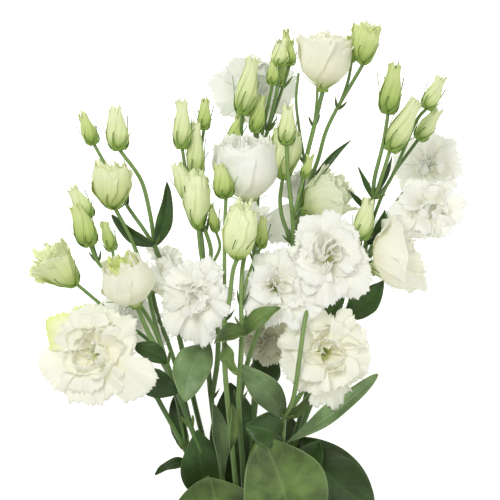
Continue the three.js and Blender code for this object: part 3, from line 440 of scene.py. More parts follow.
def leaning(axis, seed, amount):
    """An axis that leans a little its own way."""
    off = Vector((draw(seed) - 0.5, draw(seed + 1) - 0.5, draw(seed + 2) - 0.5))
    return (axis + off * amount).normalized()


def add_object(name, data):
    """A new object of the scene that shows a mesh, a curve, a lamp or a camera."""
    made = bpy.data.objects.new(name, data)
    bpy.context.scene.collection.objects.link(made)
    return made


# Colour and surface


def colour(hex_code):
    """An sRGB hex colour as linear RGBA."""
    parts = [int(hex_code[i : i + 2], 16) / 255 for i in (1, 3, 5)]
    return [c / 12.92 if c <= 0.04045 else ((c + 0.055) / 1.055) ** 2.4 for c in parts] + [1]


def node(tree, kind, settings):
    """Adds a node: a setting is an attribute, the value of an input or the socket linked to it."""
    made = tree.nodes.new(kind)
    for name, value in settings.items():
        if isinstance(value, bpy.types.NodeSocket):
            tree.links.new(value, made.inputs[name])
        elif isinstance(name, int) or name in made.inputs:
            made.inputs[name].default_value = value
        else:
            setattr(made, name, value)
    return made


def start(name, finish):
    """A new material: its tree and its surface shader, with the sockets that are the same all over."""
    material = bpy.data.materials.new(name)
    material.use_nodes = True
    tree = material.node_tree
    surface = tree.nodes["Principled BSDF"]
    for socket, value in finish.items():
        surface.inputs[socket].default_value = value
    return material, tree, surface


def tinted(tree, base, source, levels, strongest, hex_code):
    """Tints a colour where a value goes from the first level towards the second."""
    ranges = {"From Min": levels[0], "From Max": levels[1], "To Max": strongest, "Value": source}
    amount = node(tree, "ShaderNodeMapRange", ranges).outputs["Result"]
    mix = {"data_type": "RGBA", 0: amount, 6: base, 7: colour(hex_code)}
    return node(tree, "ShaderNodeMix", mix).outputs[2]


def mottled(tree, base, place, size, detail, levels, strongest, hex_code):
    """Mottles a colour with patches about a size in mm across."""
    patches = node(tree, "ShaderNodeTexNoise", {"Scale": 1 / (size * MM), "Detail": detail, "Vector": place})
    return tinted(tree, base, patches.outputs["Fac"], levels, strongest, hex_code)


def painted_side_shade(tree, base, strongest, hex_code):
    """Painted shade: darkens the sides and undersides of a part, where the bunch lets little light in."""
    facing = node(tree, "ShaderNodeNewGeometry", {}).outputs["Normal"]
    upward = node(tree, "ShaderNodeSeparateXYZ", {"Vector": facing}).outputs["Z"]
    return tinted(tree, base, upward, (0.65, 0), strongest, hex_code)


def painted_low_shade(tree, base, place, strongest):
    """Painted shade: darkens what lies low in the bunch, where little light gets in."""
    height = node(tree, "ShaderNodeSeparateXYZ", {"Vector": place}).outputs["Z"]
    return tinted(tree, base, height, (75 * MM, 20 * MM), strongest, "#0E160A")


def bumped(tree, surface, height, strength, depth):
    """Raises the pattern that a value draws by a depth in mm."""
    bump = node(tree, "ShaderNodeBump", {"Strength": strength, "Distance": depth * MM, "Height": height})
    tree.links.new(bump.outputs["Normal"], surface.inputs["Normal"])


def petal_material(name, throat, middle, edge, glow=0.3, veined=0.12, stops=(0.22, 0.7), shaded=0):
    """Fresh petal: matte and milky, lit through, green in its throat, clean at its edge, faintly veined; a
    painted glow lifts its shadows and painted shade darkens its sides.
    """
    finish = {
        "Roughness": 0.6, "Specular IOR Level": 0.3, "Emission Strength": PAINTED_GLOW,
        "Subsurface Weight": glow, "Subsurface Radius": (1, 1, 0.8), "Subsurface Scale": 1.2 * MM,
    }
    material, tree, surface = start(name, finish)
    blade = node(tree, "ShaderNodeUVMap", {"uv_map": "Blade"}).outputs["UV"]
    along = node(tree, "ShaderNodeSeparateXYZ", {"Vector": blade}).outputs["Y"]
    base = tinted(tree, colour(throat), along, (0, stops[0]), 1, middle)
    base = tinted(tree, base, along, stops, 1, edge)
    fibres = node(tree, "ShaderNodeMapping", {"Scale": PETAL_FIBRES, "Vector": blade}).outputs["Vector"]
    veins = node(tree, "ShaderNodeTexNoise", {"Scale": 1, "Detail": 2, "Vector": fibres}).outputs["Fac"]
    base = tinted(tree, base, veins, (0.4, 0.75), veined, throat)
    # Painted shade on the petal's sides and undersides, as strong as shaded asks.
    base = painted_side_shade(tree, base, shaded, throat)
    tree.links.new(base, surface.inputs["Base Color"])
    # Painted glow: the petal gives off light in its own colour, to lift its shadows.
    tree.links.new(base, surface.inputs["Emission Color"])
    through = node(tree, "ShaderNodeBsdfTranslucent", {"Color": base}).outputs["BSDF"]
    shaders = {"Fac": LIGHT_THROUGH, 1: surface.outputs["BSDF"], 2: through}
    both = node(tree, "ShaderNodeMixShader", shaders).outputs["Shader"]
    tree.links.new(both, tree.nodes["Material Output"].inputs["Surface"])
    bumped(tree, surface, veins, 0.25, 0.25)
    return material


def leaf_material(name, light, dark, rib):
    """Waxy leaf: a soft sheen on mottled grey green, a paler midrib and rim, faint side veins, and painted
    shade towards its foot and where it lies low in the bunch.
    """
    finish = {
        "Roughness": 0.42, "Specular IOR Level": 0.35,
        "Subsurface Weight": 0.08, "Subsurface Scale": 1 * MM,
    }
    material, tree, surface = start(name, finish)
    place = node(tree, "ShaderNodeTexCoord", {}).outputs["Object"]
    blade = node(tree, "ShaderNodeUVMap", {"uv_map": "Blade"}).outputs["UV"]
    parted = node(tree, "ShaderNodeSeparateXYZ", {"Vector": blade})
    along = parted.outputs["Y"]
    base = mottled(tree, colour(light), place, 14, 3, (0.35, 0.65), 1, dark)
    base = mottled(tree, base, place, 45, 1, (0.45, 0.65), 0.7, "#2F3F1C")
    centred = node(tree, "ShaderNodeMath", {"operation": "SUBTRACT", 0: parted.outputs["X"], 1: 0.5})
    off = node(tree, "ShaderNodeMath", {"operation": "ABSOLUTE", 0: centred.outputs[0]}).outputs[0]
    base = tinted(tree, base, off, (0.03, 0), 0.3, rib)
    base = tinted(tree, base, off, (0.47, 0.5), 0.6, rib)
    slanted = node(tree, "ShaderNodeMath", {"operation": "MULTIPLY_ADD", 0: off, 1: -0.55, 2: along})
    rows = node(tree, "ShaderNodeMath", {"operation": "MULTIPLY", 0: slanted.outputs[0], 1: LEAF_VEINS})
    veins = node(tree, "ShaderNodeMath", {"operation": "SINE", 0: rows.outputs[0]}).outputs[0]
    base = tinted(tree, base, veins, (0.8, 1), 0.08, rib)
    # Painted shade: darker towards the leaf's foot, then darker still where it lies low in the bunch.
    base = tinted(tree, base, along, (0.45, 0), 0.45, "#24351A")
    tree.links.new(painted_low_shade(tree, base, place, 0.3), surface.inputs["Base Color"])
    bumped(tree, surface, veins, 0.12, 0.3)
    return material


def sepal_material():
    """Sepal: dull, the bud's own green where it is broad, darker along its thread."""
    material, tree, surface = start("sepal_green", {"Roughness": 0.55, "Specular IOR Level": 0.25})
    blade = node(tree, "ShaderNodeUVMap", {"uv_map": "Blade"}).outputs["UV"]
    along = node(tree, "ShaderNodeSeparateXYZ", {"Vector": blade}).outputs["Y"]
    base = tinted(tree, colour("#84A24A"), along, (0, 0.4), 1, "#7F9C48")
    base = tinted(tree, base, along, (0.4, 0.8), 1, "#64803A")
    tree.links.new(base, surface.inputs["Base Color"])
    return material


def stalk_material():
    """Smooth stalk: a slight sheen, yellow green near the flowers, deeper near the cut ends; painted light
    pales it where it lies high, painted shade darkens its sides and what lies low.
    """
    finish = {"Roughness": 0.45, "Subsurface Weight": 0.1, "Subsurface Scale": 1 * MM}
    material, tree, surface = start("stalk_green", finish)
    place = node(tree, "ShaderNodeTexCoord", {}).outputs["Object"]
    parted = node(tree, "ShaderNodeSeparateXYZ", {"Vector": place})
    along = parted.outputs["Y"]
    cut, middle, top = (SHIFT.y + y * MM for y in STALK_TURNS)
    base = tinted(tree, colour("#56773A"), along, (cut, middle), 1, "#668743")
    base = tinted(tree, base, along, (middle, top), 1, "#72924A")
    base = mottled(tree, base, place, 9, 3, (0.4, 0.7), 0.3, "#4A6A30")
    base = mottled(tree, base, place, 50, 1, (0.42, 0.62), 0.6, "#3E5A2A")
    # Painted light: paler where the stalk lies high in the bunch; then painted shade on its sides,
    # undersides and low parts.
    base = tinted(tree, base, parted.outputs["Z"], (70 * MM, 120 * MM), 0.45, "#97B267")
    base = painted_side_shade(tree, base, 0.7, "#33491F")
    tree.links.new(painted_low_shade(tree, base, place, 0.4), surface.inputs["Base Color"])
    return material


def rubber_material():
    """Plain tan rubber: matte, hardly mottled."""
    material, tree, surface = start("band_rubber", {"Roughness": 0.7})
    place = node(tree, "ShaderNodeTexCoord", {}).outputs["Object"]
    base = mottled(tree, colour("#C9A36B"), place, 3, 3, (0, 1), 1, "#B98F58")
    tree.links.new(base, surface.inputs["Base Color"])
    return material


# Petals: the colours of throat, middle and edge, then how much light they scatter, how strong their
# veins are, where along them the middle and edge colours start, how much painted shade darkens their sides
WHITE = petal_material("petal_white", "#AAB95E", "#EAEAD9", "#F3F3EC")
CREAM = petal_material("petal_cream", "#B3C064", "#F6F4DC", "#F2F2E4", veined=0.1, stops=(0.16, 0.65))
IVORY = petal_material("petal_ivory", "#A9B857", "#E9E8CB", "#EFEFDC")
TIPPED = petal_material("petal_tipped", "#A9B857", "#F1F1DF", "#DDE894", stops=(0.55, 0.97))
# Painted shade: these two are greyed copies of the white petal, for blooms that lie deep in the bunch; the
# first is the darker.
DEEP_SHADED_WHITE = petal_material("petal_painted_deep_shade", "#7C8650", "#B4B49A", "#C6C5B0")
SHADED_WHITE = petal_material("petal_painted_shade", "#B4C084", "#E6E7DB", "#EBECE6")
THROAT = petal_material("petal_throat", "#66792B", "#93A34C", "#CDD592", 0.2)
YOUNG = petal_material("petal_young", "#9DB851", "#E6EFB6", "#F2F7CA", 0.3, 0.22, (0.25, 0.75), 0.4)
SAGE = petal_material("petal_sage", "#8FA84A", "#D2DD98", "#E6EBBE", 0.3, 0.25, (0.3, 0.8), 0.5)
MIST = petal_material("petal_mist", "#9CAE5C", "#D8DEB4", "#E5E9CE", 0.3, 0.2, (0.35, 0.8), 0.4)
BUD_PALE = petal_material("bud_pale", "#8BA94A", "#DFE9AC", "#EEF3C4", 0.25, 0.3, (0.3, 0.75), 0.6)
BUD_GREEN = petal_material("bud_green", "#7B9C42", "#BCCF7A", "#DAE59F", 0.2, 0.4, (0.3, 0.75), 0.6)
SEPAL = sepal_material()
LEAF = leaf_material("leaf_dark", "#41602B", "#324B1F", "#5F7C42")
LEAF_MID = leaf_material("leaf_mid", "#718B48", "#526A34", "#8DA866")
LEAF_PALE = leaf_material("leaf_pale", "#7F9A66", "#678152", "#98AE7E")
STALK = stalk_material()
RUBBER = rubber_material()

# The blooms that aren't plain white: creamier, greener or green-tipped ones, and low ones in white with
# painted shade
TINTS = {
    "bloom_01": CREAM, "bloom_02": IVORY, "bloom_04": SHADED_WHITE, "bloom_08": CREAM, "bloom_11": CREAM,
    "bloom_12": DEEP_SHADED_WHITE, "bloom_13": MIST, "bloom_14": SHADED_WHITE, "bloom_17": IVORY, "bloom_18": SHADED_WHITE,
}


# Blades


class Sheets:
    """Many thin blades in one mesh, each with its own coordinates, and their materials by name."""

    def __init__(self, materials):
        self.materials = materials
        self.mesh = bmesh.new()
        self.mesh.loops.layers.uv.new("Blade")

    def add(self, surface, cells, material, crowd=1):
        """Adds a blade with a point surface(t, s) for t from -1 to 1 across and s from 0 to 1 along.

        A crowd above 1 brings its rows closer together near the tip.
        """
        across, along = cells
        made = bmesh.ops.create_grid(self.mesh, x_segments=across, y_segments=along, size=1, calc_uvs=True)
        for v in made["verts"]:
            v.co = metres(surface(v.co.x, 1 - ((1 - v.co.y) / 2) ** crowd))
        slot = list(self.materials).index(material)
        for face in {f for v in made["verts"] for f in v.link_faces}:
            face.material_index = slot
            face.smooth = True

    def piece(self, name, thickness):
        """The blades as one object, given a thickness in mm."""
        data = bpy.data.meshes.new(name)
        self.mesh.to_mesh(data)
        self.mesh.free()
        made = add_object(name, data)
        for material in self.materials.values():
            data.materials.append(material)
        solid = made.modifiers.new("thickness", "SOLIDIFY")
        solid.thickness = thickness * MM
        solid.offset = 0
        return made


def toothed(t, seed):
    """The uneven notches of a petal's edge, in mm."""
    return 3 * abs(soft(7 * t, 0, seed + 31)) + 6 * abs(soft(17 * t, 0, seed + 5)) - 1.8


# What the petals of one ring share: their radius at the foot is root, and close is how far they fold in.
Ring = namedtuple("Ring", "foot axis height flare droop root close")


def petal_surface(ring, turn, reach, spread, seed):
    """The same rising, opening and waving blade as the part's petals, softly folded, its edge toothed."""
    spoke = spokes(ring.axis)
    phase = 6.28 * draw(turn + reach + ring.foot.x)

    def profile(s, t):
        """How far from the axis the petal is, and how high."""
        end = reach * (1 - 0.2 * t * t)
        if ring.close:
            full = math.sin(math.pi / 2 * min(1, 1.3 * s)) ** 0.8
            r = ring.root + (end - ring.root) * full * (1 - ring.close * max(0, s - 0.5) ** 2 * 4)
            return r, SUNK + (ring.height - SUNK) * s * (1 - 0.1 * t * t)
        r = ring.root + (end - ring.root) * max(s, 0) ** ring.flare
        rise = math.sin(math.pi / 2 * clamp(s, 0, 1)) ** 0.8
        return r, SUNK + (ring.height - SUNK) * rise - ring.droop * s**3

    def surface(t, s):
        """Waves and folds lift the blade square to its profile, and its teeth lengthen it."""
        s = max(s, 0.001)
        r, h = profile(s, t)
        r2, h2 = profile(s + 0.02, t)
        run = math.hypot(r2 - r, h2 - h) or 1
        outward, upward = (r2 - r) / run, (h2 - h) / run
        lift = 3 * t * s + RUFFLE * s * s * math.sin(5.2 * t + phase)
        lift += 9 * s * soft(0.9 * t, 1.1 * s, seed) + 3.5 * s**2.5 * soft(2.3 * t, 1.5 * s, seed + 9)
        lift += 2.4 * s**7 * soft(6 * t, 2 * s, seed + 17)
        fringe = s**9 * (6 * soft(1.7 * t, 0, seed + 23) + toothed(t, seed))
        r += fringe * outward
        h += fringe * upward
        narrow = 0.15 + 0.85 * min(1, s / 0.6)
        out = spoke(math.radians(turn + t * spread * narrow))
        return ring.foot + out * (r - lift * upward) + ring.axis * (h + lift * outward)

    return surface


def funnel_surface(foot, axis, radius, height):
    """The green tube at the bottom of an open bloom, which its petals grow from."""
    spoke = spokes(axis)

    def surface(t, s):
        r = 1.2 + 0.13 * radius * s**1.5
        return foot + axis * height * 0.5 * s + spoke(math.pi * t) * r

    return surface


def open_bloom(sheets, row):
    """A double bloom: its outer petals as in the part, then softly cupped petals in to its heart."""
    name, foot, axis, radius, height, flare, droop, lobes = row
    seed = 100 * int(name[-2:])
    foot, axis = Vector(foot), Vector(axis).normalized()
    outer = Ring(foot, axis, height, flare, droop, 1.5, 0)
    for k, (turn, reach, spread) in enumerate(lobes):
        tint = "tipped" if (name, turn) in TIPPED_PETALS else "own"
        petal = petal_surface(outer, turn, reach, spread * 1.25, seed + 7 * k)
        sheets.add(petal, OUTER_PETAL, tint, crowd=1.5)

    rings = OPEN_RINGS + [WIDEST_RING] if radius > LARGE_BLOOM else OPEN_RINGS
    full, rise, shut = HEARTS.get(name, (1, 1, 0))
    for ring, (count, reach, high, spread, close, lean) in enumerate(rings):
        if ring in HEART_RINGS:
            close = max(close, shut)
        for k in range(count):
            s = seed + 31 * ring + 5 * k
            turn = 360 * (k + 0.5 * (ring % 2) + 0.5 * (draw(s) - 0.5)) / count + 20
            tall = height * rise * (high + 0.2 * (draw(s + 1) - 0.5))
            inner = Ring(foot, leaning(axis, s, lean), tall, flare * 0.9, droop * 0.5, 1.2, close)
            far = radius * full * (reach + 0.14 * (draw(s + 2) - 0.5))
            sheets.add(petal_surface(inner, turn, far, spread, s), INNER_PETAL, "own", crowd=1.5)
    if not shut:
        sheets.add(funnel_surface(foot, axis, radius, height), FUNNEL, "throat")


def goblet_width(v, belly=0.55):
    """Width of a large half-open bloom at a share of its height: a short tube, then a full belly."""
    return 0.18 + 0.82 * (1 - (1 - clamp((v - 0.08) / belly, 0, 1)) ** 2.4)


def small_cup_width(v, rounding=0.55):
    """Width of a small half-open bloom at a share of its height; less rounding makes it fuller."""
    return 0.14 + 0.86 * math.sin(1.6 * v) ** rounding


# How far a petal's edge flares, how far it closes in, its belly if it is a goblet's, how pointed and
# how frilled it is, how far it twists, how far its leading edge stands off
Wall = namedtuple("Wall", "flared close belly point frill twist lead")


def wall_surface(foot, axis, radius, height, turn, spread, seed, wall):
    """One petal of a half-open bloom: it follows the part's goblet, then flares to a toothed edge."""
    spoke = spokes(axis)

    def surface(t, s):
        v = clamp(s, 0.001, 1)
        if wall.belly:
            wide = goblet_width(v, wall.belly)
        else:
            wide = small_cup_width(v, 0.36 if wall.close > 0.4 else 0.55)
        r = radius * wide * (1 + 0.045 * t + wall.flared * v**5 - wall.close * max(0, v - 0.5) ** 1.5 * 2.8)
        edge = max(0, t) ** 4 * v**1.5
        r += wall.frill * (2 * v * soft(1.3 * t, 1.5 * v, seed) + 3 * v**6 * soft(4.5 * t, 2 * v, seed + 3))
        r += wall.lead * radius * edge * (0.12 + 0.25 * soft(4 * v, 0, seed + 11))
        h = height * v * (1 - wall.point * v * t * t)
        h += wall.frill * (5 * v**5 * soft(1.7 * t, 0, seed + 7) + v**8 * toothed(t, seed))
        angle = math.radians(turn + t * spread * (0.55 + 0.45 * min(1, 2.5 * v)) + wall.twist * v)
        angle += 0.12 * wall.frill * edge * soft(9 * v, 0, seed + 13)
        return foot + axis * h + spoke(angle) * max(r, 0.3)

    return surface


def upright_bloom(sheets, foot, axis, radius, height, first, seed, mouth, tints):
    """A half-open bloom: petals that stand up and wrap round one another."""
    flared, close, point, belly = mouth
    large = radius > LARGE_CUP
    lean = (0.03 if point > 0.3 else 0.1) if large else 0.08
    for ring, (count, reach, high, spread) in enumerate(LARGE_RINGS if large else SMALL_RINGS):
        outermost = ring == 0
        opened = flared * 0.5 if large and not outermost else flared
        frill = 0.9 + 0.1 * ring if large else 0.8 + 0.25 * ring
        for k in range(count):
            s = seed + 17 * ring + 3 * k
            turn = first + 360 * (k + 0.5 * ring) / count + 24 * (draw(s) - 0.5)
            tall = height * (high + 0.1 * (draw(s + 1) - 0.5))
            far = radius * (reach + 0.05 * (draw(s + 2) - 0.5))
            own = leaning(axis, s, lean * ring)
            open_by = opened + 0.25 * (draw(s + 3) - (0.4 if outermost else 0.7)) * (1 if large else 0.4)
            lead = 0.9 if outermost else 0.3
            wall = Wall(open_by, close, belly, point, frill, 38 if large else 22, lead)
            petal = wall_surface(foot, own, far, tall, turn, spread, s, wall)
            sheets.add(petal, OUTER_WALL if outermost else INNER_WALL, tints[ring > 1], crowd=1.3)


def bud_outline(v):
    """Half width of a bud: full low down, narrow at its frayed mouth."""
    return 0.16 + 0.84 * max(0, math.sin(math.pi * v**0.72)) ** 0.7 * (1 - 0.34 * v) + 0.15 * v**6


def bud_petals(sheets, foot, tip, width, tint, seed):
    """A closed bud: five petals furled round one another, their ends frayed, and three inside them."""
    axis = tip - foot
    length = axis.length
    axis.normalize()
    spoke = spokes(axis)

    def furled(k):
        first = 72 * k + 40 * draw(seed)

        def surface(t, s):
            v = clamp(s, 0.001, 1)
            r = bud_outline(v) * width / 2 * (1 + 0.1 * t * min(1, 4 * v))
            r += 0.7 * soft(2 * t, 3 * v, seed + k) * v + 3 * v**7 * soft(3 * t, 0, seed + 5 * k)
            r += 0.16 * width * v**9 * draw(seed + 2 * k) * (1 - t * t)
            frayed = 5 * soft(2 * t, 0, seed + 3 * k) + 0.9 * toothed(t, seed + k)
            h = v * length * (1.03 - 0.12 * v**3 * t * t) + v**7 * frayed
            angle = math.radians(first + 56 * t + 70 * v)
            return foot + axis * h + spoke(angle) * max(r, 0.15)

        return surface

    def inner(k):
        first = 120 * k

        def surface(t, s):
            v = clamp(s, 0.001, 1)
            r = bud_outline(v) * width / 2 * 0.62
            h = v * length * 0.97 + v**8 * 1.6 * soft(6 * t, 0, seed + 11 * first)
            return foot + axis * h + spoke(math.radians(first + 75 * t + 70 * v)) * r

        return surface

    for k in range(5):
        sheets.add(furled(k), BUD_PETAL, tint, crowd=1.3)
    for k in range(3):
        sheets.add(inner(k), BUD_HEART, tint)


def sepals(sheets, foot, axis, length, radius_at, seed, wide, spread, leave):
    """Five narrow keeled sepals that hug a flower up to where they leave it; their thread tips stand off."""
    spoke = spokes(axis)
    for k in range(5):
        turn = 72 * k + 25 * draw(seed + k)
        facing = spoke(math.radians(turn + 15)).z
        long = length * (0.8 + 0.4 * draw(seed + 3 * k)) * (1 - 0.5 * max(0, facing))
        off = spread * (0.2 + 1.2 * draw(seed + 5 * k))

        def surface(t, s, turn=turn, long=long, off=off):
            half = wide * max(0, 1 - 1.7 * s) ** 1.2 + 0.4
            hug = radius_at(clamp(min(s * long / length, leave), 0, 1))
            r = hug + 0.3 + off * max(0, s - 0.3) ** 1.5 * 2.2 + 0.3 * half * (1 - abs(t))
            angle = math.radians(turn + 30 * s) + t * half / max(r, 1.2)
            return foot + axis * (s * long - 0.8) + spoke(angle) * r

        sheets.add(surface, SEPAL_BLADE, "sepal")


def leaf_surface(row):
    """The same arched, folded and waved blade as the part's leaf, its edge slightly curled."""
    foot, tip, width, arch, roll, fold, wave, bow, widest = row
    begin = Vector(foot)
    run = Vector(tip) - begin
    ahead = run.normalized()
    face = (Vector((0, 0, 1)) - ahead * ahead.z).normalized()
    turn = math.radians(roll)
    face = face * math.cos(turn) + ahead.cross(face) * math.sin(turn)
    right = ahead.cross(face)
    power = math.log(0.5) / math.log(widest)
    crease = math.radians(fold)
    phase = 6.28 * draw(foot[0] + tip[1])

    def surface(t, s):
        v = clamp(s, 0.001, 0.999)
        belly = 4 * v * (1 - v)
        half = width / 2 * max(0.03, math.sin(math.pi * v**power) ** 0.75)
        waved = 1.7 * wave * t * t * math.sin(11 * v + phase + 2 * t)
        curl = 2.2 * abs(t) ** 4 * soft(5 * v, t, phase) * min(1, width / 30)
        lift = arch * belly + abs(t) * half * math.sin(crease) + waved + curl
        lift -= 0.5 * (1 - min(1, abs(t) * 6))
        return begin + run * v + right * (t * half * math.cos(crease) + bow * belly) + face * lift

    return surface


# Stems


def through(points, per_span):
    """Points along a smooth line through the given ones, and how far along each is, 0 to 1."""
    p = [Vector(q) for q in points]
    p = [2 * p[0] - p[1], *p, 2 * p[-1] - p[-2]]
    made = []
    spans = len(points) - 1
    for i in range(spans):
        a, b, c, d = p[i : i + 4]
        d0, d1, d2 = ((y - x).length ** 0.5 for x, y in ((a, b), (b, c), (c, d)))
        t1 = ((b - a) / d0 - (c - a) / (d0 + d1) + (c - b) / d1) * d1
        t2 = ((c - b) / d1 - (d - b) / (d1 + d2) + (d - c) / d2) * d1
        for k in range(per_span + (i == spans - 1)):
            u = k / per_span
            u2, u3 = u * u, u * u * u
            at = b * (2 * u3 - 3 * u2 + 1) + t1 * (u3 - 2 * u2 + u) + c * (3 * u2 - 2 * u3) + t2 * (u3 - u2)
            made.append((at, (i + u) / spans))
    return made


def tubes(name, ways):
    """One mesh of round stalks, each (points, radius at the start, radius at the end)."""
    curve = bpy.data.curves.new(name, "CURVE")
    curve.dimensions = "3D"
    curve.bevel_depth = MM
    curve.bevel_resolution = 2
    curve.use_fill_caps = True
    for points, first, last in ways:
        line = through(points, 7)
        spline = curve.splines.new("POLY")
        spline.points.add(len(line) - 1)
        for point, (at, share) in zip(spline.points, line):
            point.co = (*metres(at), 1)
            point.radius = first + (last - first) * share
    drawn = add_object(name, curve)
    data = bpy.data.meshes.new_from_object(drawn.evaluated_get(bpy.context.evaluated_depsgraph_get()))
    bpy.data.objects.remove(drawn)
    bpy.data.curves.remove(curve)
    made = add_object(name, data)
    for face in data.polygons:
        face.use_smooth = True
    data.materials.clear()
    data.materials.append(STALK)
    return made


def carries(way, row):
    """Whether a stalk ends at the foot of a bloom."""
    return (Vector(way[-1]) - Vector(row[1])).length < AT_FOOT


def seated(way):
    """A stalk that carries a bloom ends just under its foot."""
    for row in BLOOMS:
        if carries(way, row):
            end = Vector(row[1]) - Vector(row[2]).normalized() * GAP
            return [*way[:-1], tuple(end)]
    return way


def bract_row(way, side):
    """A small bract on one side of the fork that a stalk grows from, as a row of LEAVES."""
    fork = Vector(way[0])
    seed = way[-1][0] + side
    ahead = (Vector(way[1]) - fork).normalized()
    out = ahead.cross(Vector((0, 0, 1))).normalized() * side
    tip = fork + ahead * (8 + 6 * draw(seed)) + out * (3.5 + 3 * draw(seed + 1)) + Vector((0, 0, 2))
    return [way[0], tuple(tip), 2.6, 0.8, 20 * side, 30, 0.1, 0, 0.35]


def finish_piece(made, nodes):
    """Fixes a piece to the part's one body, in the place of a node of the part."""
    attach(made, "root")
    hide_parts(nodes)


def stalks(name, slot, points):
    """The stem itself, through its place in the tie to its cut end, and every stalk that forks from it."""
    x, z = slot
    main = [
        *points,
        (TIE_X + x, TIE_Y + BAND_WIDE, z),
        (TIE_X + x, TIE_Y - BAND_WIDE, z),
        (TIE_X + x * SPLAY, CUT_Y, BAND_MIDDLE + (z - BAND_MIDDLE) * SPLAY),
    ]
    ways = [(main, STEM_RADIUS - STEM_TAPER, STEM_RADIUS)]
    ways += [(seated(way), first, last) for first, last, way in STALKS[name]]
    finish_piece(tubes(name + ".stalks", ways), name)


def leaves(name):
    """The leaves of a stem, and a pair of small bracts at the foot of each stalk."""
    sheets = Sheets({"dark": LEAF, "mid": LEAF_MID, "pale": LEAF_PALE})
    for row in LEAVES[name]:
        tip, width = row[1:3]
        # Painted light and shade: leaves whose tips reach high, and the broadest, get the lighter green; the
        # rest get the darker green.
        lit = tip[2] > 100 or width > 70
        tint = "pale" if tuple(tip) in PALE_LEAVES else "mid" if lit else "dark"
        sheets.add(leaf_surface(row), BROAD_BLADE if width > BROAD_LEAF else NARROW_BLADE, tint)
    for _, _, way in STALKS[name]:
        for side in (-1, 1):
            sheets.add(leaf_surface(bract_row(way, side)), BRACT_BLADE, "mid")
    finish_piece(sheets.piece(name + ".leaves", LEAF_THICK), name)


def buds(name):
    """The closed buds and the small half-open blooms of a stem."""
    if name not in BUDS and name not in CUPS:
        return
    sheets = Sheets({"pale": BUD_PALE, "green": BUD_GREEN, "young": YOUNG, "sage": SAGE})
    for foot, tip, width in BUDS.get(name, []):
        tint = "green" if width < SMALL_BUD or tuple(tip) in GREEN_BUDS else "pale"
        bud_petals(sheets, Vector(foot), Vector(tip), width, tint, foot[0] + 3 * foot[1])
    for foot, mouth, radius, first, flared, close, point, tint in CUPS.get(name, []):
        foot = Vector(foot)
        axis = Vector(mouth) - foot
        edge = (flared, close, point, 0)
        tints = (tint, "young")
        upright_bloom(sheets, foot, axis.normalized(), radius, axis.length, first, foot.x, edge, tints)
    finish_piece(sheets.piece(name + ".buds", PETAL_THICK), name)


def bud_sepals(sheets, foot, tip, width):
    """The sepals of a closed bud."""
    foot = Vector(foot)
    axis = Vector(tip) - foot

    def radius_at(v):
        return bud_outline(clamp(v, 0.02, 0.98)) * width / 2

    seed = foot.x + 3 * foot.y
    sepals(sheets, foot, axis.normalized(), axis.length * 0.75, radius_at, seed, 0.18 * width, 3.6, 0.35)


def cup_sepals(sheets, foot, mouth, radius):
    """The sepals of a small half-open bloom."""
    foot = Vector(foot)
    axis = Vector(mouth) - foot

    def radius_at(v):
        return radius * small_cup_width(0.8 * v)

    sepals(sheets, foot, axis.normalized(), axis.length * 0.8, radius_at, foot.x, 2.4, 5, 0.45)


def bloom_sepals(sheets, row):
    """The sepals of a bloom that stands on a stalk: broader under a goblet than under an open one."""
    _, top, axis, radius, height, flare = row[:6]
    top, axis = Vector(top), Vector(axis).normalized()
    share, wide, spread = (0.35, 2.6, 3) if flare < UPRIGHT else (0.6, 1.5, 3.5)

    def radius_at(v):
        return radius * goblet_width(0.35 * v) if flare < UPRIGHT else 2 + 13 * v**1.1

    sepals(sheets, top - axis * 0.4, axis, height * share, radius_at, top.x, wide, spread, 1)


def calyxes(name):
    """The sepals under every bud and bloom that a stem carries."""
    sheets = Sheets({"sepal": SEPAL})
    for foot, tip, width in BUDS.get(name, []):
        bud_sepals(sheets, foot, tip, width)
    for foot, mouth, radius, *_ in CUPS.get(name, []):
        cup_sepals(sheets, foot, mouth, radius)
    for row in BLOOMS:
        if any(carries(way, row) for _, _, way in STALKS[name]):
            bloom_sepals(sheets, row)
    finish_piece(sheets.piece(name + ".sepals", SEPAL_THICK), name)


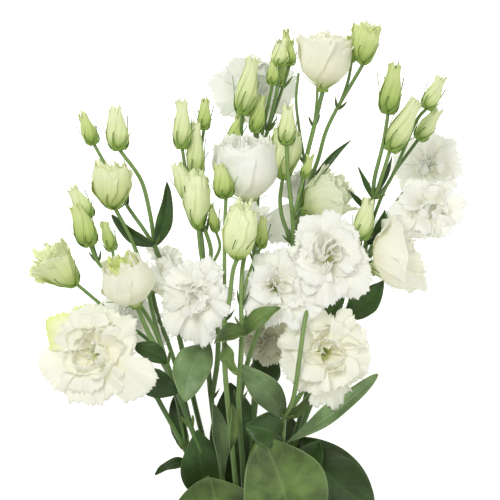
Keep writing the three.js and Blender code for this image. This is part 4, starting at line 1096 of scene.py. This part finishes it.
def bloom(row):
    """The petals of one bloom that stands on a stalk, open or half open."""
    name, foot, axis, radius, height, flare = row[:6]
    own = TINTS.get(name, WHITE)
    sheets = Sheets({"own": own, "young": YOUNG, "throat": THROAT, "tipped": TIPPED})
    if flare < UPRIGHT:
        *edge, heart = GOBLETS[name]
        ahead = Vector(axis).normalized()
        upright_bloom(sheets, Vector(foot), ahead, radius, height, row[7], radius, edge, ("own", heart))
    else:
        open_bloom(sheets, row)
    finish_piece(sheets.piece(name + ".petals", PETAL_THICK), name)


def band():
    """The rubber band keeps the part's own shape."""
    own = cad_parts["band"]
    own.data.materials.clear()
    own.data.materials.append(RUBBER)


# Camera, light and table


def camera():
    """Looks straight down, from far enough that the bunch is seen as flat as in the photo."""
    x, y, z = FIELD_MIDDLE
    data = bpy.data.cameras.new("camera")
    data.lens = data.sensor_width * CAMERA_AWAY / FIELD
    data.clip_end = 20
    made = add_object("camera", data)
    made.location = metres((x, y, z + CAMERA_AWAY))
    bpy.context.scene.camera = made


def lamp(name, place, size, power):
    """A square soft box at a place in mm, size metres wide, that faces the bunch."""
    x, y, _ = FIELD_MIDDLE
    data = bpy.data.lights.new(name, "AREA")
    data.size = size
    data.energy = power
    made = add_object(name, data)
    made.location = metres(place)
    aim = metres((x, y, LAMP_AIM)) - made.location
    made.rotation_euler = aim.to_track_quat("-Z", "Y").to_euler()


def studio():
    """The even, slightly warm light of a white room."""
    world = bpy.data.worlds.new("studio")
    world.use_nodes = True
    background = world.node_tree.nodes["Background"]
    background.inputs["Color"].default_value = (1, 0.99, 0.95, 1)
    background.inputs["Strength"].default_value = 0.48
    bpy.context.scene.world = world


def table():
    """A plain matte white table, lit a little from within so that its shadows stay pale."""
    data = bpy.data.meshes.new("table")
    flat = bmesh.new()
    bmesh.ops.create_grid(flat, x_segments=1, y_segments=1, size=6)
    flat.to_mesh(data)
    flat.free()
    made = add_object("table", data)
    made.location.z = -0.5 * MM
    finish = {
        "Base Color": colour("#FAFAFA"), "Roughness": 0.9,
        "Emission Color": colour("#FFFFFF"), "Emission Strength": 0.75,
    }
    material, _, _ = start("table_white", finish)
    data.materials.append(material)


camera()
table()
studio()
lamp("key", (-500, 700, 1400), 0.6, 11)
lamp("fill", (900, -200, 1200), 1.2, 5)
bpy.context.scene.view_settings.view_transform = "Standard"

for name, slot, points in STEMS:
    stalks(name, slot, points)
    leaves(name)
    buds(name)
    calyxes(name)
for row in BLOOMS:
    bloom(row)
band()
